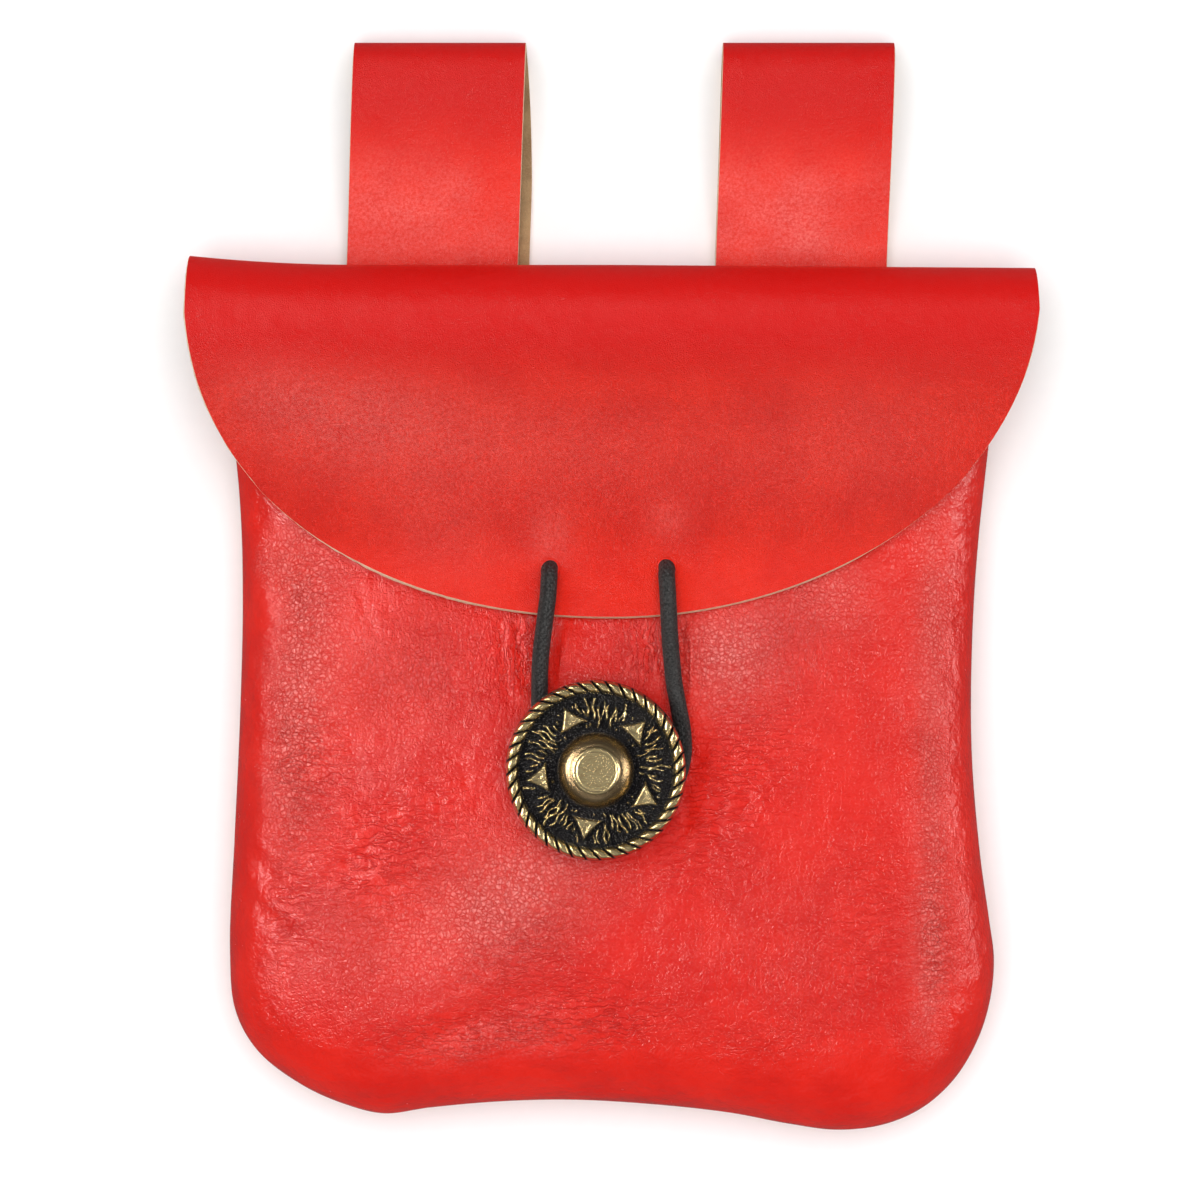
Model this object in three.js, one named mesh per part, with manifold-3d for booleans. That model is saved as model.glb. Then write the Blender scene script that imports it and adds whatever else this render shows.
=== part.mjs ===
// Medieval belt pouch of red leather, lying on its back.
// One firm piece of leather is the back panel and folds over the top into a rounded flap. A softer puffed
// pocket stands on the panel. Two straps behind the fold are the belt loops. A round elastic runs through
// two holes in the flap and hooks behind a cast concho button on the pocket.
// Millimetres. +X is to the right, +Y points to the belt loops, +Z comes out of the pouch's front.

import * as THREE from 'three';
import { mergeVertices } from 'three/addons/utils/BufferGeometryUtils.js';
import Module from 'manifold-3d';

const wasm = await Module();
wasm.setup();

// Driving dimensions: body
const BODY_LENGTH = 156.4;
const BODY_WIDTH = 138.4;
const POCKET_DEPTH = 26;
const POCKET_WALL = 1.5;
const PANEL_WALL = 1.8;
const PANEL_MARGIN = 1.2;
const SIDE_ROLL = 40;
const SIDE_TUCK = 1.8;

// Driving dimensions: flap
const FLAP_WIDTH = 153.7;
const FLAP_DROP = 63.6;
const FLAP_SHOULDER = 3.8;
const FLAP_FLARE = 1.7;
const FLAP_LAY_GAP = 0.6;

// Driving dimensions: belt loops
const STRAP_WIDTH = 31;
const STRAP_WALL = 1.6;
const STRAP_SEWN_LENGTH = 28;
const LOOP_RISE = 40.6;
const LOOP_SPREAD = 11.5;

// Driving dimensions: button and elastic
const CONCHO_DIAMETER = 32;
const ROPE_STRANDS = 40;
const STAR_POINTS = 5;
const CONCHO_HEIGHT = 5.2;
const CONCHO_DOWN = 90.7;
const CONCHO_ACROSS = -2.9;
const STEM_DIAMETER = 8;
const SHANK_DIAMETER = 4.4;
const SCREW_HEAD_DIAMETER = 10;
const SCREW_HEAD_THICKNESS = 1.5;
const ELASTIC_DIAMETER = 3;
const HOLE_DOWN = 54.6;
const HOLES_MIDDLE = -0.7;
const HOLE_SPACING = 20.9;

// Clearances between neighbouring pieces
const PIECE_GAP = 0.3;
const HOLE_GAP = 0.5;

const STEM_HEIGHT = ELASTIC_DIAMETER + 5 * PIECE_GAP;
const STRAP_STACK = 2 * STRAP_WALL + 2 * PIECE_GAP;
const RIM_LIFT = PANEL_WALL + PIECE_GAP;

// Grid of the pocket and of the panel under it, so that their facets match
const GRID_ACROSS = 22;
const GRID_DOWN = 18;

// Outline of the pocket seen from the front, from its mouth on the left round the bottom to the right.
// across is a share of half the body width, down a share of the body length.
const outlineRows = [
  { across: -1.014, down: 0.099 },
  { across: -1.001, down: 0.157 },
  { across: -0.988, down: 0.203 },
  { across: -0.974, down: 0.272 },
  { across: -0.967, down: 0.387 },
  { across: -0.974, down: 0.525 },
  { across: -0.988, down: 0.663 },
  { across: -1.0, down: 0.789 },
  { across: -0.986, down: 0.861 },
  { across: -0.928, down: 0.908 },
  { across: -0.811, down: 0.948 },
  { across: -0.694, down: 0.971 },
  { across: -0.596, down: 0.981 },
  { across: -0.473, down: 0.974 },
  { across: -0.291, down: 0.967 },
  { across: -0.109, down: 0.965 },
  { across: 0.099, down: 0.97 },
  { across: 0.307, down: 0.98 },
  { across: 0.463, down: 0.993 },
  { across: 0.588, down: 1.0 },
  { across: 0.71, down: 0.994 },
  { across: 0.814, down: 0.974 },
  { across: 0.9, down: 0.939 },
  { across: 0.96, down: 0.893 },
  { across: 0.991, down: 0.847 },
  { across: 1.0, down: 0.801 },
  { across: 0.987, down: 0.755 },
  { across: 0.965, down: 0.686 },
  { across: 0.944, down: 0.582 },
  { across: 0.94, down: 0.502 },
  { across: 0.947, down: 0.398 },
  { across: 0.96, down: 0.318 },
  { across: 0.975, down: 0.249 },
  { across: 0.988, down: 0.197 },
  { across: 1.001, down: 0.157 },
  { across: 1.017, down: 0.099 },
];

// Where the outline turns from a side into the bottom, as shares of its length
const CORNER_LEFT = 0.33;
const CORNER_RIGHT = 0.66;

// How far the pocket's front stands above the panel along its middle, as a share of the pocket depth
const depthRows = [
  { down: 0.0, depth: 0.46 },
  { down: 0.1, depth: 0.54 },
  { down: 0.2, depth: 0.67 },
  { down: 0.32, depth: 0.81 },
  { down: 0.45, depth: 0.93 },
  { down: 0.6, depth: 1.0 },
  { down: 0.75, depth: 0.99 },
  { down: 0.88, depth: 0.94 },
  { down: 1.0, depth: 0.88 },
];

// Main hollows of the pocket's front, and its bulges where deep is negative. across is a share of half the
// body width, down and tall of the body length, wide of the body width, deep of the pocket depth.
const dentRows = [
  { name: 'left hollow', across: -0.655, down: 0.571, wide: 0.09, tall: 0.1, turn: 0, deep: 0.06 },
  { name: 'button seat', across: -0.042, down: 0.585, wide: 0.13, tall: 0.11, turn: 0, deep: 0.045 },
  { name: 'bulge right of button', across: 0.307, down: 0.467, wide: 0.06, tall: 0.08, turn: 0, deep: -0.03 },
  { name: 'bulge below button', across: -0.24, down: 0.69, wide: 0.07, tall: 0.05, turn: 0, deep: -0.03 },
  { name: 'slanting ridge', across: -0.34, down: 0.778, wide: 0.14, tall: 0.025, turn: 37, deep: -0.03 },
  { name: 'hollow beside ridge', across: -0.47, down: 0.732, wide: 0.06, tall: 0.05, turn: 37, deep: 0.035 },
  { name: 'tongue between strands', across: -0.03, down: 0.45, wide: 0.05, tall: 0.04, turn: 0, deep: -0.02 },
  { name: 'lower right hollow', across: 0.593, down: 0.824, wide: 0.07, tall: 0.1, turn: 0, deep: 0.025 },
  { name: 'upper left bulge', across: -0.785, down: 0.318, wide: 0.04, tall: 0.08, turn: 0, deep: -0.02 },
];

// Small maths helpers
const mix = (from, to, share) => from + (to - from) * share;
const clamp = (value, low, high) => Math.min(Math.max(value, low), high);
const smooth = (share) => {
  const t = clamp(share, 0, 1);
  return t * t * (3 - 2 * t);
};

// Smooth value of a table's column at a place between its rows
function readTable(rows, placeKey, valueKey, place) {
  const last = rows.length - 1;
  let low = 0;
  while (low < last - 1 && rows[low + 1][placeKey] < place) {
    low += 1;
  }
  const start = rows[low];
  const end = rows[low + 1];
  const before = rows[Math.max(low - 1, 0)];
  const after = rows[Math.min(low + 2, last)];
  const span = end[placeKey] - start[placeKey];
  const t = clamp((place - start[placeKey]) / span, 0, 1);
  const slopeStart = (span * (end[valueKey] - before[valueKey])) / (end[placeKey] - before[placeKey]);
  const slopeEnd = (span * (after[valueKey] - start[valueKey])) / (after[placeKey] - start[placeKey]);
  const t2 = t * t;
  const t3 = t2 * t;
  return (
    (2 * t3 - 3 * t2 + 1) * start[valueKey] +
    (t3 - 2 * t2 + t) * slopeStart +
    (3 * t2 - 2 * t3) * end[valueKey] +
    (t3 - t2) * slopeEnd
  );
}

// The pocket's outline as a curve, with y = 0 at the top of the fold
const outline = new THREE.CatmullRomCurve3(
  outlineRows.map((row) => new THREE.Vector3((row.across * BODY_WIDTH) / 2, -row.down * BODY_LENGTH, 0)),
  false,
  'centripetal',
);
outline.arcLengthDivisions = 400;
const OUTLINE_SAMPLES = 240;
const outlinePoints = outline.getSpacedPoints(OUTLINE_SAMPLES);

function distanceToOutline(x, y) {
  const place = new THREE.Vector3(x, y, 0);
  const nearest = new THREE.Vector3();
  const piece = new THREE.Line3();
  let best = Infinity;
  for (let i = 0; i < OUTLINE_SAMPLES; i += 1) {
    piece.set(outlinePoints[i], outlinePoints[i + 1]);
    piece.closestPointToPoint(place, true, nearest);
    best = Math.min(best, nearest.distanceTo(place));
  }
  return best;
}

// Underside of the back panel: flat on the table, lifted at the top by the two sewn strap ends
const RAMP_LENGTH = 24;
const RAMP_START_GAP = 2;

function undersideHeight(y) {
  const rampTop = -(STRAP_SEWN_LENGTH + RAMP_START_GAP);
  return STRAP_STACK * smooth((y - (rampTop - RAMP_LENGTH)) / RAMP_LENGTH);
}

// The side wall stands up to WALL_SHARE of the height, then rolls over into the front
const WALL_SHARE = 0.25;
const TUCK_SHARE = 0.35;
const ROLL_POWER = 4;

function rollHeight(distance) {
  const t = clamp(1 - distance / SIDE_ROLL, 0, 1);
  return WALL_SHARE + (1 - WALL_SHARE) * Math.sqrt(1 - t ** ROLL_POWER);
}

function rollInset(height) {
  const above = clamp((height - WALL_SHARE) / (1 - WALL_SHARE), 0, 1);
  const tuck = SIDE_TUCK * clamp(1 - height / TUCK_SHARE, 0, 1) ** 2;
  return tuck + SIDE_ROLL * (1 - (1 - above * above) ** (1 / ROLL_POWER));
}

// Fall of the front from its middle to the sides
const CROWN_DROP = 0.18;
const CROWN_POWER = 2.4;

function crown(x) {
  return 1 - CROWN_DROP * (Math.abs(x) / (FLAP_WIDTH / 2)) ** CROWN_POWER;
}

function middleDepth(y) {
  return POCKET_DEPTH * readTable(depthRows, 'down', 'depth', -y / BODY_LENGTH);
}

function dentDepth(x, y) {
  let total = 0;
  for (const row of dentRows) {
    const turn = THREE.MathUtils.degToRad(row.turn);
    const dx = x - (row.across * BODY_WIDTH) / 2;
    const dy = y + row.down * BODY_LENGTH;
    const along = (dx * Math.cos(turn) + dy * Math.sin(turn)) / (row.wide * BODY_WIDTH);
    const beside = (dy * Math.cos(turn) - dx * Math.sin(turn)) / (row.tall * BODY_LENGTH);
    total += row.deep * POCKET_DEPTH * Math.exp(-(along * along + beside * beside) / 2);
  }
  return total;
}

// Channel pressed into the pocket by the elastic's stretch behind the flap, between the two holes
const CHANNEL_DEPTH = ELASTIC_DIAMETER + 4 * PIECE_GAP;
const CHANNEL_REACH = 6.5;

function channelDepth(x, y) {
  const along = Math.max(Math.abs(x - HOLES_MIDDLE) - HOLE_SPACING / 2, 0) / CHANNEL_REACH;
  const beside = (y + HOLE_DOWN) / CHANNEL_REACH;
  return CHANNEL_DEPTH * Math.exp(-((along * along + beside * beside) ** 2));
}

function pocketHeight(x, y, rise) {
  const dents = rise * (dentDepth(x, y) + channelDepth(x, y));
  return undersideHeight(y) + RIM_LIFT + middleDepth(y) * crown(x) * rise - dents;
}

// Points round the pocket's outline, each with the way inward, from the mouth's left to its right
const perimeter = [];
for (let i = 0; i <= 2 * GRID_DOWN + GRID_ACROSS; i += 1) {
  let share;
  if (i <= GRID_DOWN) {
    share = (CORNER_LEFT * i) / GRID_DOWN;
  } else if (i <= GRID_DOWN + GRID_ACROSS) {
    share = mix(CORNER_LEFT, CORNER_RIGHT, (i - GRID_DOWN) / GRID_ACROSS);
  } else {
    share = mix(CORNER_RIGHT, 1, (i - GRID_DOWN - GRID_ACROSS) / GRID_DOWN);
  }
  const point = outline.getPointAt(share);
  const tangent = outline.getTangentAt(share);
  perimeter.push({ point, inward: new THREE.Vector3(-tangent.y, tangent.x, 0) });
}

const insetPerimeter = (distance) =>
  perimeter.map(({ point, inward }) => point.clone().addScaledVector(inward, distance));

// Grid of points that fills an inset outline, rows from the mouth to the bottom
function fillOutline(border) {
  const first = border[0];
  const last = border[border.length - 1];
  const bottomLeft = border[GRID_DOWN];
  const bottomRight = border[GRID_DOWN + GRID_ACROSS];
  const rows = [];
  for (let j = 0; j <= GRID_DOWN; j += 1) {
    const v = j / GRID_DOWN;
    const row = [];
    for (let i = 0; i <= GRID_ACROSS; i += 1) {
      const u = i / GRID_ACROSS;
      const sides = border[j].clone().lerp(border[border.length - 1 - j], u);
      const top = first.clone().lerp(last, u);
      const ends = top.clone().lerp(border[GRID_DOWN + i], v);
      const bottom = bottomLeft.clone().lerp(bottomRight, u);
      row.push(sides.add(ends).sub(top.lerp(bottom, v)));
    }
    rows.push(row);
  }
  return rows;
}

// Open sheet of triangles, built from rows of points
class Sheet {
  constructor() {
    this.points = [];
    this.triangles = [];
  }

  addRow(points) {
    const start = this.points.length;
    this.points.push(...points);
    return points.map((point, i) => start + i);
  }

  joinRows(upper, lower) {
    for (let i = 0; i < upper.length - 1; i += 1) {
      this.triangles.push([upper[i], lower[i], lower[i + 1]]);
      this.triangles.push([upper[i], lower[i + 1], upper[i + 1]]);
    }
  }

  normals() {
    const normals = this.points.map(() => new THREE.Vector3());
    const facet = new THREE.Triangle();
    const direction = new THREE.Vector3();
    for (const [a, b, c] of this.triangles) {
      facet.set(this.points[a], this.points[b], this.points[c]);
      facet.getNormal(direction);
      direction.multiplyScalar(facet.getArea());
      [a, b, c].forEach((corner) => normals[corner].add(direction));
    }
    return normals.map((normal) => normal.normalize());
  }

  shifted(distance) {
    const normals = this.normals();
    return this.points.map((point, i) => point.clone().addScaledVector(normals[i], distance));
  }
}

// Closed wall between a sheet's outer and inner points, with its raw edges covered
function closeWall(outer, inner, triangles) {
  const count = outer.length;
  const faces = [];
  const open = new Map();
  for (const [a, b, c] of triangles) {
    faces.push(a, b, c, count + a, count + c, count + b);
    for (const [from, to] of [[a, b], [b, c], [c, a]]) {
      if (!open.delete(`${to}_${from}`)) {
        open.set(`${from}_${to}`, [from, to]);
      }
    }
  }
  for (const [from, to] of open.values()) {
    faces.push(to, from, count + from, to, count + from, count + to);
  }
  return geometryFrom([...outer, ...inner].flatMap((point) => point.toArray()), faces);
}

function geometryFrom(positions, faces) {
  const geometry = new THREE.BufferGeometry();
  geometry.setAttribute('position', new THREE.Float32BufferAttribute(positions, 3));
  geometry.setIndex(faces);
  geometry.computeVertexNormals();
  return geometry;
}

// Joining and cutting of closed solids
function toSolid(geometry) {
  const bare = geometry.clone();
  bare.deleteAttribute('normal');
  bare.deleteAttribute('uv');
  const merged = mergeVertices(bare, 1e-5);
  const vertProperties = new Float32Array(merged.attributes.position.array);
  const triVerts = new Uint32Array(merged.index.array);
  return new wasm.Manifold(new wasm.Mesh({ numProp: 3, vertProperties, triVerts }));
}

function toGeometry(solid) {
  const mesh = solid.getMesh();
  return geometryFrom(Array.from(mesh.vertProperties), Array.from(mesh.triVerts));
}

// A turned solid about the Z axis, from a profile of [radius, height] pairs listed upwards
function turned(profile, segments, firstAngle = 0) {
  const points = profile.map(([r, z]) => new THREE.Vector2(r, z));
  return new THREE.LatheGeometry(points, segments, firstAngle).rotateX(Math.PI / 2);
}

// The pocket: a puffed front with rolled sides, open at the mouth and towards the panel
const SKIRT_HEIGHTS = [0, 0.14, 0.3, 0.5, 0.68, 0.82];
const POCKET_ROLLED_HEIGHT = SKIRT_HEIGHTS[SKIRT_HEIGHTS.length - 1];

function buildPocket() {
  const sheet = new Sheet();
  const edgeInset = rollInset(POCKET_ROLLED_HEIGHT);
  const grid = fillOutline(insetPerimeter(edgeInset));
  const gridRows = grid.map((row, j) =>
    sheet.addRow(
      row.map((point, i) => {
        const onEdge = i === 0 || i === GRID_ACROSS || j === GRID_DOWN;
        const distance = onEdge ? edgeInset : distanceToOutline(point.x, point.y);
        const rise = rollHeight(distance);
        return new THREE.Vector3(point.x, point.y, pocketHeight(point.x, point.y, rise));
      }),
    ),
  );
  for (let j = 0; j < GRID_DOWN; j += 1) {
    sheet.joinRows(gridRows[j], gridRows[j + 1]);
  }
  const gridEdge = [
    ...gridRows.slice(0, GRID_DOWN).map((row) => row[0]),
    ...gridRows[GRID_DOWN],
    ...gridRows.slice(0, GRID_DOWN).reverse().map((row) => row[GRID_ACROSS]),
  ];
  const skirtRows = SKIRT_HEIGHTS.slice(0, -1).map((height) =>
    sheet.addRow(
      insetPerimeter(rollInset(height)).map(
        (point) => new THREE.Vector3(point.x, point.y, pocketHeight(point.x, point.y, height)),
      ),
    ),
  );
  skirtRows.push(gridEdge);
  for (let k = 0; k < skirtRows.length - 1; k += 1) {
    sheet.joinRows(skirtRows[k + 1], skirtRows[k]);
  }
  const inner = sheet.shifted(-POCKET_WALL);
  for (const index of skirtRows[0]) {
    inner[index].z = sheet.points[index].z;
  }
  return closeWall(sheet.points, inner, sheet.triangles);
}

// The back panel, the fold and the flap are one sheet
const FOLD_ROWS = 7;
const FLAP_ROWS = 11;
const FLAP_POWER_LEFT = 2.15;
const FLAP_POWER_RIGHT = 2;
const FLAP_TIP_SHARE = 0.985;
const FOLD_BACK_SHARE = 0.985;
const FLAP_SETTLE_LENGTH = 36;
const FLAP_DRAPE = 0.6;
const FLAP_DRAPE_REACH = 6;
const FLARE_START = 0.58;

function flapRise(x, y, foldCentreY) {
  const settled = smooth((foldCentreY - y) / FLAP_SETTLE_LENGTH);
  const reach = Math.max(BODY_WIDTH / 2 - Math.abs(x), FLAP_DRAPE_REACH);
  const draped = crown(x) * mix(1, rollHeight(reach), FLAP_DRAPE);
  return mix(1, draped, settled);
}

// Half the flap's width at a height, on one side
function flapReach(y, power) {
  const share = clamp((-FLAP_SHOULDER - y) / (FLAP_DROP - FLAP_SHOULDER), 0, 1);
  return (FLAP_WIDTH / 2) * (1 - share ** power) ** (1 / power);
}

// Raise of the fold's left end, and the slight fall of its right end
function flare(x) {
  const left = clamp((-x / (FLAP_WIDTH / 2) - FLARE_START) / (1 - FLARE_START), 0, 1);
  return FLAP_FLARE * left * left - (FLAP_FLARE / 3) * clamp(x / (FLAP_WIDTH / 2), 0, 1);
}

function flapHeight(x, y, foldCentreY) {
  const front = RIM_LIFT + middleDepth(y) * flapRise(x, y, foldCentreY) + FLAP_LAY_GAP;
  return undersideHeight(y) + front + PANEL_WALL / 2;
}

function spreadRow(left, right) {
  const row = [];
  for (let i = 0; i <= GRID_ACROSS; i += 1) {
    row.push(mix(left, right, i / GRID_ACROSS));
  }
  return row;
}

function buildPanelAndFlap() {
  const backZ = STRAP_STACK + PANEL_WALL / 2;
  const frontZ = flapHeight(0, 0, 0);
  const foldRadius = (frontZ - backZ) / 2;
  const foldCentreY = -foldRadius - PANEL_WALL / 2;
  const foldCentreZ = (frontZ + backZ) / 2;
  const sheet = new Sheet();
  const rows = fillOutline(insetPerimeter(PANEL_MARGIN))
    .reverse()
    .map((row) => row.map((p) => new THREE.Vector3(p.x, p.y, undersideHeight(p.y) + PANEL_WALL / 2)));
  const mouthRow = rows[rows.length - 1];
  const foldHalf = (FLAP_WIDTH / 2) * FOLD_BACK_SHARE;
  const foldStart = spreadRow(-foldHalf, foldHalf);
  rows.push(
    foldStart.map((x, i) => new THREE.Vector3(mix(mouthRow[i].x, x, 0.6), mix(mouthRow[i].y, foldCentreY, 0.5), backZ)),
  );
  for (let j = 0; j <= FOLD_ROWS; j += 1) {
    const angle = (Math.PI * j) / FOLD_ROWS;
    const half = mix(foldHalf, flapReach(foldCentreY, FLAP_POWER_RIGHT), j / FOLD_ROWS);
    rows.push(
      spreadRow(-half, half).map((x) => {
        const y = foldCentreY + (foldRadius + flare(x)) * Math.sin(angle);
        return new THREE.Vector3(x, y, foldCentreZ - foldRadius * Math.cos(angle));
      }),
    );
  }
  const flapLength = FLAP_DROP - FLAP_SHOULDER;
  const startTurn = Math.asin((-FLAP_SHOULDER - foldCentreY) / flapLength);
  for (let j = 1; j <= FLAP_ROWS; j += 1) {
    const turn = mix(startTurn, (Math.PI / 2) * FLAP_TIP_SHARE, j / FLAP_ROWS);
    const y = -FLAP_SHOULDER - flapLength * Math.sin(turn);
    const row = spreadRow(-flapReach(y, FLAP_POWER_LEFT), flapReach(y, FLAP_POWER_RIGHT));
    rows.push(row.map((x) => new THREE.Vector3(x, y, flapHeight(x, y, foldCentreY))));
  }
  const indices = rows.map((row) => sheet.addRow(row));
  for (let j = 0; j < indices.length - 1; j += 1) {
    sheet.joinRows(indices[j + 1], indices[j]);
  }
  return closeWall(sheet.shifted(PANEL_WALL / 2), sheet.shifted(-PANEL_WALL / 2), sheet.triangles);
}

// Profile of a belt loop's strap above the fold, front leaf first. along is a share of the loop's rise, up a
// share of its spread, front is 1 where the strap springs from the front leaf and 0 from the back leaf.
const loopRows = [
  { along: -0.02, up: 0.0, front: 1 },
  { along: 0.1, up: 0.03, front: 1 },
  { along: 0.25, up: 0.25, front: 1 },
  { along: 0.45, up: 0.62, front: 1 },
  { along: 0.66, up: 0.92, front: 1 },
  { along: 0.84, up: 1.0, front: 1 },
  { along: 0.955, up: 0.86, front: 1 },
  { along: 1.0, up: 0.5, front: 0 },
  { along: 0.965, up: 0.14, front: 0 },
  { along: 0.86, up: 0.0, front: 0 },
  { along: 0.7, up: 0.0, front: 0 },
  { along: 0.4, up: 0.0, front: 0 },
];

// The two loops. across is a share of half the body width. lean moves the loop's top to the right, skew the
// back leaf's sewn end and bow the back leaf's middle, all as shares of the strap width.
const loops = [
  { name: 'belt_loop_left', across: -0.472, lean: 0.05, skew: 0.065, bow: 0.022 },
  { name: 'belt_loop_right', across: 0.497, lean: 0.041, skew: 0, bow: 0 },
];

const LOOP_STEPS = 36;

function buildLoop({ across, lean, skew, bow }) {
  const backLeafZ = STRAP_WALL / 2;
  const frontLeafZ = backLeafZ + STRAP_WALL + PIECE_GAP;
  const crestZ = LOOP_SPREAD - STRAP_WALL / 2;
  const reach = LOOP_RISE - STRAP_WALL / 2;
  const centre = (across * BODY_WIDTH) / 2;
  const rowPoints = loopRows.map(({ along, up, front }) => {
    const backShift = mix(skew, lean, along) + 4 * bow * along * (1 - along);
    const shift = mix(backShift, lean * Math.max(along, 0), front);
    const z = mix(mix(backLeafZ, frontLeafZ, front), crestZ, up);
    return new THREE.Vector3(centre + STRAP_WIDTH * shift, along * reach, z);
  });
  const backX = centre + STRAP_WIDTH * skew;
  const path = new THREE.CatmullRomCurve3(
    [
      new THREE.Vector3(centre, -STRAP_SEWN_LENGTH, frontLeafZ),
      new THREE.Vector3(centre, -STRAP_SEWN_LENGTH / 2, frontLeafZ),
      ...rowPoints,
      new THREE.Vector3(backX, 0, backLeafZ),
      new THREE.Vector3(backX, -STRAP_SEWN_LENGTH / 2, backLeafZ),
      new THREE.Vector3(backX, -STRAP_SEWN_LENGTH, backLeafZ),
    ],
    false,
    'centripetal',
  );
  const sheet = new Sheet();
  const half = new THREE.Vector3(STRAP_WIDTH / 2, 0, 0);
  const rows = path.getPoints(LOOP_STEPS).map((point) => {
    point.z = Math.max(point.z, backLeafZ);
    return sheet.addRow([point.clone().sub(half), point.clone().add(half)]);
  });
  for (let j = 0; j < rows.length - 1; j += 1) {
    sheet.joinRows(rows[j + 1], rows[j]);
  }
  return closeWall(sheet.shifted(STRAP_WALL / 2), sheet.shifted(-STRAP_WALL / 2), sheet.triangles);
}

// Rings of the concho's top, from its cap out over the rim to the underside. radius is a share of the
// concho's radius, height and relief of its height; relief alternates round the ring, shifted by turn.
const conchoRings = [
  { radius: 0.255, height: 1.0, relief: 0, turn: 0 },
  { radius: 0.275, height: 0.95, relief: 0, turn: 0 },
  { radius: 0.34, height: 0.88, relief: 0, turn: 0 },
  { radius: 0.4, height: 0.68, relief: 0, turn: 0 },
  { radius: 0.43, height: 0.36, relief: 0, turn: 0 },
  { radius: 0.47, height: 0.34, relief: 0.06, turn: 0 },
  { radius: 0.65, height: 0.32, relief: 0.08, turn: 0 },
  { radius: 0.83, height: 0.31, relief: 0.05, turn: 0 },
  { radius: 0.855, height: 0.36, relief: 0, turn: 0 },
  { radius: 0.89, height: 0.5, relief: 0.07, turn: 0 },
  { radius: 0.93, height: 0.55, relief: 0.08, turn: 1 },
  { radius: 0.97, height: 0.48, relief: 0.07, turn: 2 },
  { radius: 1.0, height: 0.3, relief: 0, turn: 0 },
  { radius: 0.985, height: 0.0, relief: 0, turn: 0 },
];

// Raised triangles of the concho, pointing outwards, as shares of its radius and height
const STAR_RADIUS = 0.615;
const STAR_SIZE = 0.2;
const STAR_BASE = 0.25;
const STAR_TOP = 0.52;
const STAR_BEVEL = 0.015;
const STAR_FIRST_ANGLE = 45;

function buildConchoDisc() {
  const radius = CONCHO_DIAMETER / 2;
  const segments = 2 * ROPE_STRANDS;
  const sheet = new Sheet();
  const rings = conchoRings.map((ring) => {
    const points = [];
    for (let i = 0; i < segments; i += 1) {
      const angle = (2 * Math.PI * i) / segments;
      const side = (i + ring.turn) % 2 === 0 ? 0.5 : -0.5;
      const r = ring.radius * radius;
      const z = (ring.height + ring.relief * side) * CONCHO_HEIGHT;
      points.push(new THREE.Vector3(r * Math.cos(angle), r * Math.sin(angle), z));
    }
    const indices = sheet.addRow(points);
    return [...indices, indices[0]];
  });
  for (let k = 0; k < rings.length - 1; k += 1) {
    sheet.joinRows(rings[k], rings[k + 1]);
  }
  const [top] = sheet.addRow([new THREE.Vector3(0, 0, CONCHO_HEIGHT)]);
  const [bottom] = sheet.addRow([new THREE.Vector3(0, 0, 0)]);
  const firstRing = rings[0];
  const lastRing = rings[rings.length - 1];
  for (let i = 0; i < segments; i += 1) {
    sheet.triangles.push([top, firstRing[i], firstRing[i + 1]]);
    sheet.triangles.push([bottom, lastRing[i + 1], lastRing[i]]);
  }
  return geometryFrom(sheet.points.flatMap((point) => point.toArray()), sheet.triangles.flat());
}

function buildStar(angle) {
  const radius = CONCHO_DIAMETER / 2;
  const bevel = STAR_BEVEL * radius;
  const corners = [0, 1, 2].map((i) => {
    const turn = (2 * Math.PI * i) / 3;
    return new THREE.Vector2(STAR_SIZE * radius * Math.cos(turn), STAR_SIZE * radius * Math.sin(turn));
  });
  const geometry = new THREE.ExtrudeGeometry(new THREE.Shape(corners), {
    depth: (STAR_TOP - STAR_BASE) * CONCHO_HEIGHT - bevel,
    bevelThickness: bevel,
    bevelSize: bevel,
    bevelOffset: -bevel,
    bevelSegments: 1,
  });
  geometry.translate(STAR_RADIUS * radius, 0, STAR_BASE * CONCHO_HEIGHT);
  return geometry.rotateZ(angle);
}

// Short hollow stem under the concho, which holds it clear of the leather and takes the screw
const STEM_SEGMENTS = 24;
const STEM_FIRST_ANGLE = 0.02;
const STEM_ROOT = 0.5;

function buildConcho() {
  const bore = SHANK_DIAMETER / 2 + PIECE_GAP;
  const stem = turned(
    [
      [bore, -STEM_HEIGHT],
      [STEM_DIAMETER / 2, -STEM_HEIGHT],
      [STEM_DIAMETER / 2, STEM_ROOT],
      [bore, STEM_ROOT],
      [bore, -STEM_HEIGHT],
    ],
    STEM_SEGMENTS,
    STEM_FIRST_ANGLE,
  );
  let solid = toSolid(buildConchoDisc()).add(toSolid(stem));
  for (let i = 0; i < STAR_POINTS; i += 1) {
    const angle = THREE.MathUtils.degToRad(STAR_FIRST_ANGLE + (360 * i) / STAR_POINTS);
    solid = solid.add(toSolid(buildStar(angle)));
  }
  return toGeometry(solid);
}

// Where the button sits: the highest and lowest places of the leather under its stem
const conchoX = CONCHO_ACROSS;
const conchoY = -CONCHO_DOWN;

function leatherUnder(radius) {
  const heights = [];
  for (let i = 0; i < 12; i += 1) {
    const angle = (Math.PI * i) / 6;
    const x = conchoX + radius * Math.cos(angle);
    const y = conchoY + radius * Math.sin(angle);
    heights.push(pocketHeight(x, y, rollHeight(distanceToOutline(x, y))));
  }
  return { low: Math.min(...heights), high: Math.max(...heights) };
}

const seatZ = leatherUnder(STEM_DIAMETER / 2).high + PIECE_GAP;
const conchoZ = seatZ + STEM_HEIGHT;
const headTopZ = leatherUnder(SCREW_HEAD_DIAMETER / 2).low - POCKET_WALL - PIECE_GAP;

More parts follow.
